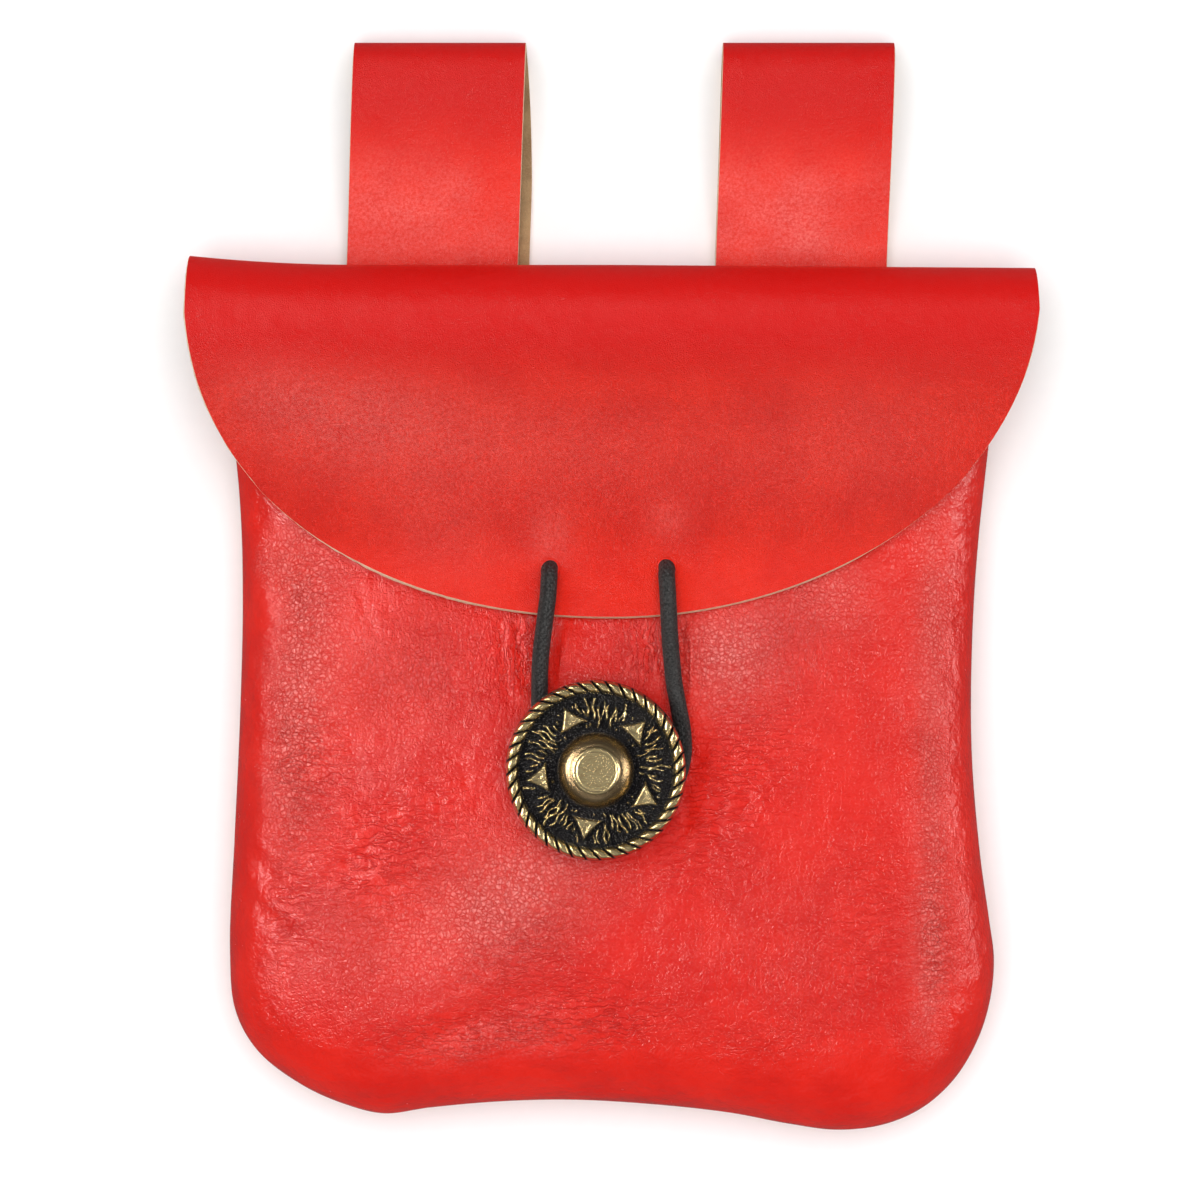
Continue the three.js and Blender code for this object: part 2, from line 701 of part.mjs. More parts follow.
function buildScrew() {
  const shank = SHANK_DIAMETER / 2;
  const head = SCREW_HEAD_DIAMETER / 2;
  const top = conchoZ - PIECE_GAP;
  return turned(
    [
      [0, headTopZ - SCREW_HEAD_THICKNESS],
      [head, headTopZ - SCREW_HEAD_THICKNESS],
      [head, headTopZ],
      [shank, headTopZ],
      [shank, top],
      [0, top],
    ],
    STEM_SEGMENTS,
  ).translate(conchoX, conchoY, 0);
}

function buildPocketWithHole() {
  const hole = SHANK_DIAMETER / 2 + PIECE_GAP;
  const cutter = turned(
    [
      [0, headTopZ],
      [hole, headTopZ],
      [hole, conchoZ],
      [0, conchoZ],
    ],
    STEM_SEGMENTS,
  ).translate(conchoX, conchoY, 0);
  return toGeometry(toSolid(buildPocket()).subtract(toSolid(cutter)));
}

// The elastic's route: [x, y, z] from its end behind the middle of the flap, out through the left hole, down
// and round behind the button, up and back in through the right hole
const elasticRoute = [
  [-1.0, -54.4, 22.5],
  [-5.0, -54.4, 22.5],
  [-8.9, -54.5, 22.7],
  [-11.0, -54.8, 25.3],
  [-11.2, -56.4, 28.2],
  [-11.4, -59.6, 29.4],
  [-11.9, -63.6, 29.6],
  [-12.4, -67.5, 29.1],
  [-12.8, -71.5, 28.5],
  [-12.9, -75.5, 28.3],
  [-12.9, -80.0, 28.4],
  [-12.5, -86.0, 28.8],
  [-11.0, -93.0, 29.1],
  [-8.0, -98.8, 29.4],
  [-3.6, -101.9, 29.6],
  [0.5, -102.5, 29.6],
  [4.8, -101.0, 29.5],
  [8.6, -97.8, 29.4],
  [11.2, -93.3, 29.4],
  [12.6, -88.4, 29.3],
  [12.6, -84.2, 29.1],
  [11.8, -79.5, 28.8],
  [11.0, -75.0, 28.6],
  [10.6, -71.0, 28.6],
  [10.3, -67.5, 29.1],
  [10.1, -63.6, 29.6],
  [9.9, -59.6, 29.4],
  [9.7, -56.2, 28.2],
  [9.6, -54.6, 25.3],
  [7.5, -54.4, 22.7],
  [3.6, -54.4, 22.5],
  [-0.4, -54.4, 22.5],
];
const ELASTIC_STEPS = 76;
const ELASTIC_SIDES = 8;
const HOLE_ROUTE_POINTS = 6;
const HOLE_STEPS = 14;
const HOLE_SIDES = 14;

function tube(route, diameter, steps, sides) {
  const section = new THREE.Shape();
  for (let i = 0; i < sides; i += 1) {
    const angle = (2 * Math.PI * i) / sides;
    const x = (diameter / 2) * Math.cos(angle);
    const y = (diameter / 2) * Math.sin(angle);
    if (i === 0) {
      section.moveTo(x, y);
    } else {
      section.lineTo(x, y);
    }
  }
  const path = new THREE.CatmullRomCurve3(route.map(([x, y, z]) => new THREE.Vector3(x, y, z)));
  return new THREE.ExtrudeGeometry(section, { steps, extrudePath: path });
}

function buildElastic() {
  return tube(elasticRoute, ELASTIC_DIAMETER, ELASTIC_STEPS, ELASTIC_SIDES);
}

function buildPanelWithHoles() {
  const sleeve = ELASTIC_DIAMETER + 2 * HOLE_GAP;
  const ends = [elasticRoute.slice(0, HOLE_ROUTE_POINTS), elasticRoute.slice(-HOLE_ROUTE_POINTS)];
  let solid = toSolid(buildPanelAndFlap());
  for (const route of ends) {
    solid = solid.subtract(toSolid(tube(route, sleeve, HOLE_STEPS, HOLE_SIDES)));
  }
  return toGeometry(solid);
}

const pouch = new THREE.Group();

function addPiece(name, geometry, look) {
  const mesh = new THREE.Mesh(geometry, new THREE.MeshStandardMaterial(look));
  mesh.name = name;
  pouch.add(mesh);
  return mesh;
}

const firmLeather = { color: 0xd92a1e, roughness: 0.5, metalness: 0 };
const softLeather = { color: 0xd6281c, roughness: 0.42, metalness: 0 };
const brass = { color: 0x8f7a4e, roughness: 0.38, metalness: 1 };
const steel = { color: 0x9a9a98, roughness: 0.4, metalness: 1 };
const rubber = { color: 0x1c1b1b, roughness: 0.7, metalness: 0 };

addPiece('back_panel_and_flap', buildPanelWithHoles(), firmLeather);
addPiece('pocket', buildPocketWithHole(), softLeather);
for (const loop of loops) {
  addPiece(loop.name, buildLoop(loop), firmLeather);
}
addPiece('concho_button', buildConcho(), brass).position.set(conchoX, conchoY, conchoZ);
addPiece('button_screw', buildScrew(), steel);
addPiece('elastic_loop', buildElastic(), rubber);

// The origin goes to the middle of the pouch's footprint, on the table
const bounds = new THREE.Box3().setFromObject(pouch);
const middle = bounds.getCenter(new THREE.Vector3());
pouch.position.set(-middle.x, -middle.y, -bounds.min.z);

const group = new THREE.Group();
group.add(pouch);

export default group;
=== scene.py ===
# Medieval belt pouch of red leather, lying on its back: the finished looks.
# Shapes are worked out in millimetres in a drawing frame, with y = 0 at the top of the fold and z = 0 on the
# table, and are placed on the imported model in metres.
import math

import bpy
import numpy as np
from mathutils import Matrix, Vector


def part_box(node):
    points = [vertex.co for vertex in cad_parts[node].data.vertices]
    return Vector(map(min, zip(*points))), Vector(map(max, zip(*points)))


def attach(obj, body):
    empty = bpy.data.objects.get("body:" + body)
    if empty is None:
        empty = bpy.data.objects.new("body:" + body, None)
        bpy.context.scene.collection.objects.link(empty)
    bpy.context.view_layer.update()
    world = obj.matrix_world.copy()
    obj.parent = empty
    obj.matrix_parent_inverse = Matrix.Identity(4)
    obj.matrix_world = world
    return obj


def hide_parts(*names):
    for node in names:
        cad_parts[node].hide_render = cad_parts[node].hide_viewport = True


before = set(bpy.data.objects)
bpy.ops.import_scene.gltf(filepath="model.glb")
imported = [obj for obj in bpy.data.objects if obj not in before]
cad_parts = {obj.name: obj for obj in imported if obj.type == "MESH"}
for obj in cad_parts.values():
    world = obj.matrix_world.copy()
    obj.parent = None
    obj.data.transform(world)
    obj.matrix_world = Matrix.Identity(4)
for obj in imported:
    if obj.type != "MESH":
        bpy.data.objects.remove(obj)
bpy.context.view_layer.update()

# Sizes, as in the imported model
BODY_LENGTH = 156.4
BODY_WIDTH = 138.4
POCKET_DEPTH = 26
POCKET_WALL = 1.5
PANEL_WALL = 1.8
PANEL_MARGIN = 1.2
SIDE_ROLL = 40
SIDE_TUCK = 1.8
FLAP_WIDTH = 153.7
FLAP_DROP = 63.6
FLAP_SHOULDER = 3.8
FLAP_FLARE = 1.7
FLAP_CURVE_LEFT = 2.15
FLAP_CURVE_RIGHT = 2.0
FLAP_LAY_GAP = 0.6
STRAP_WIDTH = 31
STRAP_WALL = 1.6
STRAP_SEWN_LENGTH = 28
LOOP_RISE = 40.6
LOOP_SPREAD = 11.5
CONCHO_RADIUS = 16
CONCHO_HEIGHT = 5.2
CONCHO_X = -2.9
CONCHO_Y = -90.7
ROPE_STRANDS = 40
STEM_RADIUS = 4
STEM_BORE = 2.5
STEM_HEIGHT = 4.5
ELASTIC_DIAMETER = 3
HOLE_DOWN = 54.6
HOLES_MIDDLE = -0.7
HOLE_SPACING = 20.9
PIECE_GAP = 0.3
STRAP_STACK = 2 * STRAP_WALL + 2 * PIECE_GAP
RIM_LIFT = PANEL_WALL + PIECE_GAP

# The drawing frame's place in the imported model, taken from the button
button_low, button_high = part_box("concho_button")
OFFSET = np.array(
    [
        (button_low.x + button_high.x) / 2 * 1000 - CONCHO_X,
        (button_low.y + button_high.y) / 2 * 1000 - CONCHO_Y,
        0.0,
    ]
)
CONCHO_Z = button_high.z * 1000 - CONCHO_HEIGHT

# Outline of the pocket, across as a share of half the body width and down as a share of the body length
OUTLINE = [
    (-1.014, 0.099), (-1.001, 0.157), (-0.988, 0.203), (-0.974, 0.272), (-0.967, 0.387), (-0.974, 0.525),
    (-0.988, 0.663), (-1.0, 0.789), (-0.986, 0.861), (-0.928, 0.908), (-0.811, 0.948), (-0.694, 0.971),
    (-0.596, 0.981), (-0.473, 0.974), (-0.291, 0.967), (-0.109, 0.965), (0.099, 0.97), (0.307, 0.98),
    (0.463, 0.993), (0.588, 1.0), (0.71, 0.994), (0.814, 0.974), (0.9, 0.939), (0.96, 0.893),
    (0.991, 0.847), (1.0, 0.801), (0.987, 0.755), (0.965, 0.686), (0.944, 0.582), (0.94, 0.502),
    (0.947, 0.398), (0.96, 0.318), (0.975, 0.249), (0.988, 0.197), (1.001, 0.157), (1.017, 0.099),
]
CORNER_LEFT = 0.33
CORNER_RIGHT = 0.66

# Height of the pocket's front along its middle: (share of the body length, share of the pocket depth)
DEPTHS = [
    (0.0, 0.46), (0.1, 0.54), (0.2, 0.67), (0.32, 0.81), (0.45, 0.93),
    (0.6, 1.0), (0.75, 0.99), (0.88, 0.94), (1.0, 0.88),
]

# Main hollows, and bulges where deep is negative: across, down, wide, tall, turn in degrees, deep
DENTS = {
    "left hollow": (-0.655, 0.571, 0.09, 0.1, 0, 0.06),
    "button seat": (-0.042, 0.585, 0.13, 0.11, 0, 0.045),
    "bulge right of button": (0.307, 0.467, 0.06, 0.08, 0, -0.03),
    "bulge below button": (-0.24, 0.69, 0.07, 0.05, 0, -0.03),
    "slanting ridge": (-0.34, 0.778, 0.14, 0.025, 37, -0.03),
    "hollow beside ridge": (-0.47, 0.732, 0.06, 0.05, 37, 0.035),
    "tongue between strands": (-0.03, 0.45, 0.05, 0.04, 0, -0.02),
    "lower right hollow": (0.593, 0.824, 0.07, 0.1, 0, 0.025),
    "upper left bulge": (-0.785, 0.318, 0.04, 0.08, 0, -0.02),
}

# Creases of the pocket's front by place, in millimetres: start x and y, end x and y, width, height
# (negative is a groove) and bend (how far the middle bows to the left of the way from start to end)
CREASES = {
    "beside the left strand": [
        (-12, -63, -13.3, -84, 1.9, -0.75, 0.3), (-17, -62.6, -15.2, -76, 0.55, -0.55, -0.5),
        (-18.4, -62.6, -16.8, -78, 0.7, 0.35, -0.5), (-19.8, -64, -17.6, -82, 0.5, -0.32, -0.6),
        (-9.4, -63.6, -10.6, -76, 0.5, -0.5, 0.2), (-8.4, -63.6, -9.6, -75, 0.6, 0.3, 0.2),
    ],
    "beside the right strand": [
        (10.2, -63, 11.4, -84, 1.9, -0.8, -0.3), (4.6, -63.6, 7.6, -76, 0.45, -0.5, 0.4),
        (5.5, -63.6, 8.3, -75, 0.4, 0.32, 0.4), (6.3, -63.6, 8.9, -74, 0.4, -0.42, 0.3),
        (7, -63.6, 9.5, -73, 0.4, 0.28, 0.3), (12.6, -63.4, 13.4, -77, 0.7, -0.65, -0.2),
        (14.2, -63.4, 13.9, -78, 0.8, 0.42, -0.4), (15.4, -64, 14.9, -80, 0.5, -0.28, -0.4),
    ],
    "left fan": [
        (-65, -84, -49.5, -92.5, 0.9, -0.3, 0.8), (-64, -87.5, -52, -95.5, 0.8, 0.25, 0.8),
        (-63.5, -90, -54, -98.5, 0.8, -0.28, 0.6), (-62, -93, -55.5, -101, 0.7, 0.2, 0.5),
    ],
    "rising left of the middle": [
        (-53, -111, -38, -97, 1.1, -0.34, -1.4), (-50, -114.5, -34, -100, 1.3, 0.3, -1.4),
        (-46, -117, -33, -104, 1.1, -0.3, -1), (-40, -121, -31, -108, 1, 0.24, -0.8),
    ],
    "lower left arcs": [
        (-66, -104, -46, -119, 1, -0.28, -2.2), (-66.5, -108, -44, -123, 1.2, 0.24, -2.6),
        (-66, -112.5, -43, -127, 1.1, -0.26, -2.4), (-65, -117, -42, -130.5, 1.2, 0.2, -2),
    ],
    "along the bottom": [
        (-36, -137, -9.5, -125, 1.5, 0.4, 1.6), (-34, -140.5, -8, -130, 1.3, -0.36, 1.6),
        (-30, -142.5, -3, -134, 1.4, 0.3, 1.4), (-27, -144.5, 2, -138.5, 1.1, -0.24, 1.2),
    ],
    "under the button": [
        (-20, -104, -27, -116, 0.8, -0.24, 0.6), (-16, -107, -21, -121, 0.9, 0.2, 0.6),
        (-11, -109, -14, -122, 0.8, -0.2, 0.4),
    ],
    "right of the button": [
        (17, -84, 12.5, -108, 1.2, -0.3, -1.2), (20.5, -82, 14.5, -112, 1.4, 0.3, -1.5),
        (24, -84, 16, -115, 1.3, -0.26, -1.6),
    ],
    "falling on the right": [
        (41, -116.3, 48.8, -134, 0.45, 0.26, 0.5), (37.6, -111.8, 41.8, -118.8, 0.4, 0.2, 0.2),
        (21, -113.8, 24, -127, 0.5, 0.24, 0.3), (47.7, -105, 49.5, -113.8, 0.4, 0.2, 0.2),
        (43.5, -121, 50.5, -138, 0.5, -0.24, 0.4), (17.5, -138, 20, -142.6, 0.45, 0.22, 0.2),
        (21, -138.4, 24.6, -143.6, 0.45, 0.22, 0.2), (28, -139.2, 32, -144.4, 0.45, 0.2, 0.2),
    ],
    "right roll": [
        (56.4, -120.5, 60.8, -118.2, 0.5, -0.26, 0.2), (56.2, -122.6, 61, -120.6, 0.5, 0.24, 0.2),
        (56.6, -125, 61, -123.6, 0.5, -0.24, 0.2), (56.8, -128.4, 61.2, -127.6, 0.5, 0.22, 0.1),
        (56.6, -131.6, 61, -131.4, 0.5, -0.22, 0.1),
    ],
    "upper left": [
        (-62, -52, -50, -66, 0.9, 0.26, 1.6), (-63.5, -56, -52.5, -70, 0.9, -0.24, 1.6),
        (-64, -61, -55.5, -74, 0.9, 0.22, 1.4),
    ],
    "in the flap's shadow": [
        (-46, -58.5, -42.5, -66, 0.7, -0.24, 0.3), (-40.5, -61, -38, -69, 0.7, -0.22, 0.3),
        (-34.5, -63, -33, -71, 0.7, -0.22, 0.3), (-28.5, -64.5, -27.5, -73, 0.7, -0.24, 0.3),
    ],
}


def mix(start, end, share):
    return start + (end - start) * share


def smooth(share):
    t = np.clip(share, 0.0, 1.0)
    return t * t * (3 - 2 * t)


def smooth_table(rows, place):
    """Value between a table's rows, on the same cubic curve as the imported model's."""
    keys = np.array([row[0] for row in rows])
    values = np.array([row[1] for row in rows])
    place = np.asarray(place, float)
    low = np.clip(np.searchsorted(keys, place, side="left") - 1, 0, len(keys) - 2)
    before = np.maximum(low - 1, 0)
    after = np.minimum(low + 2, len(keys) - 1)
    span = keys[low + 1] - keys[low]
    t = np.clip((place - keys[low]) / span, 0, 1)
    slope_start = span * (values[low + 1] - values[before]) / (keys[low + 1] - keys[before])
    slope_end = span * (values[after] - values[low]) / (keys[after] - keys[low])
    t2 = t * t
    t3 = t2 * t
    return (
        (2 * t3 - 3 * t2 + 1) * values[low]
        + (t3 - 2 * t2 + t) * slope_start
        + (3 * t2 - 2 * t3) * values[low + 1]
        + (t3 - t2) * slope_end
    )


def spline(points, steps):
    """Centripetal Catmull-Rom curve through the points, with this many samples to each span."""
    points = np.asarray(points, float)
    padded = np.vstack([2 * points[0] - points[1], points, 2 * points[-1] - points[-2]])
    samples = []
    for k in range(len(points) - 1):
        p0, p1, p2, p3 = padded[k:k + 4]
        d0 = np.linalg.norm(p1 - p0) ** 0.5
        d1 = np.linalg.norm(p2 - p1) ** 0.5
        d2 = np.linalg.norm(p3 - p2) ** 0.5
        m1 = ((p1 - p0) / d0 - (p2 - p0) / (d0 + d1) + (p2 - p1) / d1) * d1
        m2 = ((p2 - p1) / d1 - (p3 - p1) / (d1 + d2) + (p3 - p2) / d2) * d1
        t = (np.arange(steps) / steps)[:, None]
        samples.append(
            p1 + m1 * t + (3 * (p2 - p1) - 2 * m1 - m2) * t**2 + (2 * (p1 - p2) + m1 + m2) * t**3
        )
    samples.append(points[-1:])
    return np.vstack(samples)


def spaced(curve, shares):
    """Points of a dense curve at these shares of its length."""
    lengths = np.concatenate([[0], np.cumsum(np.linalg.norm(np.diff(curve, axis=0), axis=1))])
    places = np.asarray(shares) * lengths[-1]
    return np.stack([np.interp(places, lengths, curve[:, k]) for k in range(curve.shape[1])], axis=1)


NOISE_GRID = 256


def soft_noise(u, v, seed):
    """Smooth value noise from 0 to 1, one cell to each unit of u and v."""
    grid = np.random.default_rng(seed).random((NOISE_GRID, NOISE_GRID))
    iu = np.floor(u).astype(int)
    iv = np.floor(v).astype(int)
    fu = smooth(u - iu)
    fv = smooth(v - iv)
    corner = lambda a, b: grid[(iu + a) % NOISE_GRID, (iv + b) % NOISE_GRID]
    top = mix(corner(0, 0), corner(1, 0), fu)
    bottom = mix(corner(0, 1), corner(1, 1), fu)
    return mix(top, bottom, fv)


outline_curve = spline([(a * BODY_WIDTH / 2, -d * BODY_LENGTH) for a, d in OUTLINE], 24)
outline_points = spaced(outline_curve, np.linspace(0, 1, 481))
PLACES_AT_ONCE = 4000


def distance_to_outline(x, y):
    """Distance from each place to the pocket's outline."""
    place = np.stack([np.ravel(x), np.ravel(y)], axis=1)
    start = outline_points[:-1]
    along = np.diff(outline_points, axis=0)
    squared = (along**2).sum(axis=1)
    best = np.full(len(place), np.inf)
    for first in range(0, len(place), PLACES_AT_ONCE):
        part = place[first:first + PLACES_AT_ONCE]
        away = part[:, None, :] - start[None]
        t = np.clip((away * along).sum(axis=2) / squared, 0, 1)
        gap = away - t[..., None] * along
        best[first:first + PLACES_AT_ONCE] = np.sqrt((gap**2).sum(axis=2).min(axis=1))
    return best.reshape(np.shape(x))


UNDERSIDE_RAMP = 24
ROLL_FOOT = 0.25
CHANNEL_REACH = 6.5


def underside_height(y):
    """Height of the panel's lower face, which rises over the straps near the fold."""
    ramp_top = -(STRAP_SEWN_LENGTH + 2)
    return STRAP_STACK * smooth((y - (ramp_top - UNDERSIDE_RAMP)) / UNDERSIDE_RAMP)


def roll_height(distance):
    t = np.clip(1 - distance / SIDE_ROLL, 0, 1)
    return ROLL_FOOT + (1 - ROLL_FOOT) * np.sqrt(1 - t**4)


def roll_inset(height):
    above = np.clip((height - ROLL_FOOT) / (1 - ROLL_FOOT), 0, 1)
    tuck = SIDE_TUCK * np.clip(1 - height / 0.35, 0, 1) ** 2
    return tuck + SIDE_ROLL * (1 - (1 - above**2) ** 0.25)


def crown(x):
    return 1 - 0.18 * (np.abs(x) / (FLAP_WIDTH / 2)) ** 2.4


def middle_depth(y):
    return POCKET_DEPTH * smooth_table(DEPTHS, -y / BODY_LENGTH)


def turned(dx, dy, turn):
    """Lengths along and beside a direction that is turned by these degrees."""
    cos, sin = math.cos(math.radians(turn)), math.sin(math.radians(turn))
    return dx * cos + dy * sin, dy * cos - dx * sin


def dent_depth(x, y):
    total = np.zeros(np.shape(x))
    for across, down, wide, tall, turn, deep in DENTS.values():
        along, beside = turned(x - across * BODY_WIDTH / 2, y + down * BODY_LENGTH, turn)
        apart = (along / (wide * BODY_WIDTH)) ** 2 + (beside / (tall * BODY_LENGTH)) ** 2
        total += deep * POCKET_DEPTH * np.exp(-apart / 2)
    return total


def channel_depth(x, y):
    along = np.maximum(np.abs(x - HOLES_MIDDLE) - HOLE_SPACING / 2, 0) / CHANNEL_REACH
    beside = (y + HOLE_DOWN) / CHANNEL_REACH
    return (ELASTIC_DIAMETER + 4 * PIECE_GAP) * np.exp(-((along**2 + beside**2) ** 2))


def crease_height(x, y):
    """Folds and grooves of the pocket's leather, in millimetres above its plain shape."""
    total = np.zeros(np.shape(x))
    for x0, y0, x1, y1, width, height, bend in sum(CREASES.values(), []):
        length = math.hypot(x1 - x0, y1 - y0)
        ax, ay = (x1 - x0) / length, (y1 - y0) / length
        along = ((x - x0) * ax + (y - y0) * ay) / length
        wander = 0.35 * width * (soft_noise(along * 5 + 7 * x0, x * 0 + y0, 3) - 0.5)
        beside = (y - y0) * ax - (x - x0) * ay - 4 * bend * along * (1 - along) - wander * 2
        ends = smooth((along + 0.12) / 0.3) * smooth((1.12 - along) / 0.3)
        total += height * ends * np.exp(-((beside / width) ** 2))
    return total


def flap_lower_edge(x):
    """Height on the drawing of the flap's edge at a place across."""
    half = FLAP_WIDTH / 2
    power = np.where(x < 0, FLAP_CURVE_LEFT, FLAP_CURVE_RIGHT)
    share = np.clip(1 - (np.abs(x) / half) ** power, 0, 1) ** (1 / power)
    return -FLAP_SHOULDER - (FLAP_DROP - FLAP_SHOULDER) * share


def open_front(x, y):
    """1 on the pocket's uncovered front, 0 under the flap."""
    return smooth((flap_lower_edge(x) - y - 0.3) / 2.2)


def wrinkle_height(x, y):
    """Fine waviness of the soft leather."""
    slanting = x * 0.8 + y * 0.6
    across = y * 0.8 - x * 0.6
    rising = soft_noise(slanting / 6.5, across / 2.1, 11) - 0.5
    upright = soft_noise(x / 1.9 + 3, y / 6.0, 12) - 0.5
    broad = soft_noise(x / 9.0, y / 9.0, 13) - 0.5
    return 0.16 * rising + 0.14 * upright + 0.5 * broad


def pocket_height(x, y, rise):
    dents = rise * (dent_depth(x, y) + channel_depth(x, y))
    return underside_height(y) + RIM_LIFT + middle_depth(y) * crown(x) * rise - dents


DENSE_STEPS = 1200


def perimeter(count_down, count_across, distance, even=10.0):
    """Points round the outline moved inwards, from the mouth's left to its right. Corners are evened out."""
    shares = np.concatenate(
        [
            np.linspace(0, CORNER_LEFT, count_down + 1),
            np.linspace(CORNER_LEFT, CORNER_RIGHT, count_across + 1)[1:],
            np.linspace(CORNER_RIGHT, 1, count_down + 1)[1:],
        ]
    )
    dense_shares = np.linspace(0, 1, DENSE_STEPS + 1)
    dense = spaced(outline_curve, dense_shares)
    tangent = np.gradient(dense, axis=0)
    tangent /= np.linalg.norm(tangent, axis=1, keepdims=True)
    inward = np.stack([-tangent[:, 1], tangent[:, 0]], axis=1)
    length = np.linalg.norm(np.diff(dense, axis=0), axis=1).sum()
    reach = int(even / length * DENSE_STEPS)
    window = np.hanning(2 * reach + 3)
    window /= window.sum()
    padded = np.pad(inward, ((reach + 1, reach + 1), (0, 0)), mode="edge")
    evened = np.stack([np.convolve(padded[:, k], window, mode="valid") for k in range(2)], axis=1)
    evened /= np.linalg.norm(evened, axis=1, keepdims=True)
    points = np.stack([np.interp(shares, dense_shares, dense[:, k]) for k in range(2)], axis=1)
    ways = np.stack([np.interp(shares, dense_shares, evened[:, k]) for k in range(2)], axis=1)
    return points + ways * distance


def fill_outline(border, count_down, count_across):
    """Grid of points inside a border, rows from the mouth to the bottom."""
    v = np.linspace(0, 1, count_down + 1)[:, None, None]
    u = np.linspace(0, 1, count_across + 1)[None, :, None]
    left = border[:count_down + 1][:, None]
    right = border[::-1][:count_down + 1][:, None]
    bottom = border[count_down:count_down + count_across + 1][None]
    top = mix(border[0], border[-1], u)
    corners = mix(top, mix(bottom[:, :1], bottom[:, -1:], u), v)
    return mix(left, right, u) + mix(top, bottom, v) - corners


# Meshes
def grid_quads(rows, columns, first=0):
    """Quads of a grid of points that is listed row by row, turned to face up where rows go down the page."""
    j, i = np.meshgrid(np.arange(rows - 1), np.arange(columns - 1), indexing="ij")
    a = (first + j * columns + i).ravel()
    return np.stack([a, a + columns, a + columns + 1, a + 1], axis=1)


def point_normals(points, quads):
    corners = points[quads]
    facing = np.cross(corners[:, 2] - corners[:, 0], corners[:, 3] - corners[:, 1])
    normals = np.zeros_like(points)
    for corner in range(4):
        np.add.at(normals, quads[:, corner], facing)
    return normals / np.maximum(np.linalg.norm(normals, axis=1, keepdims=True), 1e-12)


def open_edges(quads):
    """Edges that only one quad has, each in that quad's own direction."""
    edges = np.concatenate([quads[:, [k, (k + 1) % 4]] for k in range(4)])
    keys = np.sort(edges, axis=1)
    _, index, counts = np.unique(keys, axis=0, return_index=True, return_counts=True)
    return edges[index[counts == 1]]


# Rows round a raw edge: share of the way through the leather, share of the bulge
EDGE_ROUNDING = [(0.14, 0.5), (0.5, 1.0), (0.86, 1.0)]
INNER_BULGE = 0.75
SHARP_ANGLE = 50


def leather_wall(points, quads, outside, inside, push):
    """Closed wall of leather between two distances from a sheet, with a raw edge that bulges out by push.
    Returns points, quads and a material number for each quad: 0 grain side, 1 flesh side, 2 raw edge."""
    normals = point_normals(points, quads)
    count = len(points)
    outer = points + normals * outside
    inner = points + normals * inside
    border = open_edges(quads)
    away = np.zeros_like(points)
    way = points[border[:, 1]] - points[border[:, 0]]
    way /= np.linalg.norm(way, axis=1, keepdims=True)
    for side in range(2):
        np.add.at(away, border[:, side], np.cross(way, normals[border[:, side]]))
    on_border = np.unique(border)
    away[on_border] /= np.linalg.norm(away[on_border], axis=1, keepdims=True)
    slot = np.full(count, -1)
    slot[on_border] = np.arange(len(on_border))
    reach = np.broadcast_to(push, count)[on_border][:, None] * away[on_border]
    inner[on_border] += reach * INNER_BULGE
    flat = inner[on_border] - reach * INNER_BULGE
    rows = [on_border]
    extra = []
    for through, out in EDGE_ROUNDING:
        rows.append(2 * count + len(extra) * len(on_border) + np.arange(len(on_border)))
        extra.append(mix(outer[on_border], flat, through) + reach * out)
    rows.append(count + on_border)
    faces = [quads, count + quads[:, ::-1]]
    kinds = [np.zeros(len(quads), int), np.ones(len(quads), int)]
    a, b = slot[border[:, 0]], slot[border[:, 1]]
    for upper, lower in zip(rows[:-1], rows[1:]):
        faces.append(np.stack([upper[b], upper[a], lower[a], lower[b]], axis=1))
        kinds.append(np.full(len(border), 2))
    return np.concatenate([outer, inner, *extra]), np.concatenate(faces), np.concatenate(kinds)


def placed(name, data):
    """New object in the scene."""
    thing = bpy.data.objects.new(name, data)
    bpy.context.scene.collection.objects.link(thing)
    return thing


def make_object(name, points, faces, materials, kinds=None, values=None, sharp=None):
    """Mesh object from points in millimetres in the drawing frame."""
    mesh = bpy.data.meshes.new(name)
    mesh.from_pydata(((points + OFFSET) / 1000).tolist(), [], [list(map(int, face)) for face in faces])
    for material in materials:
        mesh.materials.append(material)
    if kinds is not None:
        mesh.polygons.foreach_set("material_index", np.asarray(kinds, np.int32))
    for key, value in (values or {}).items():
        attribute = mesh.attributes.new(key, "FLOAT", "POINT")
        attribute.data.foreach_set("value", np.asarray(value, np.float32))
    mesh.shade_smooth()
    if sharp is not None:
        mesh.set_sharp_from_angle(angle=math.radians(sharp))
    mesh.update()
    return placed(name, mesh)


def stands_for(thing, node):
    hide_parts(node)
    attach(thing, "root")


# Materials
def srgb(red, green, blue):
    """Linear colour, with alpha, from 0 to 255 values as seen on a screen."""
    linear = []
    for value in (red, green, blue):
        share = value / 255
        linear.append(share / 12.92 if share <= 0.04045 else ((share + 0.055) / 1.055) ** 2.4)
    return (*linear, 1.0)


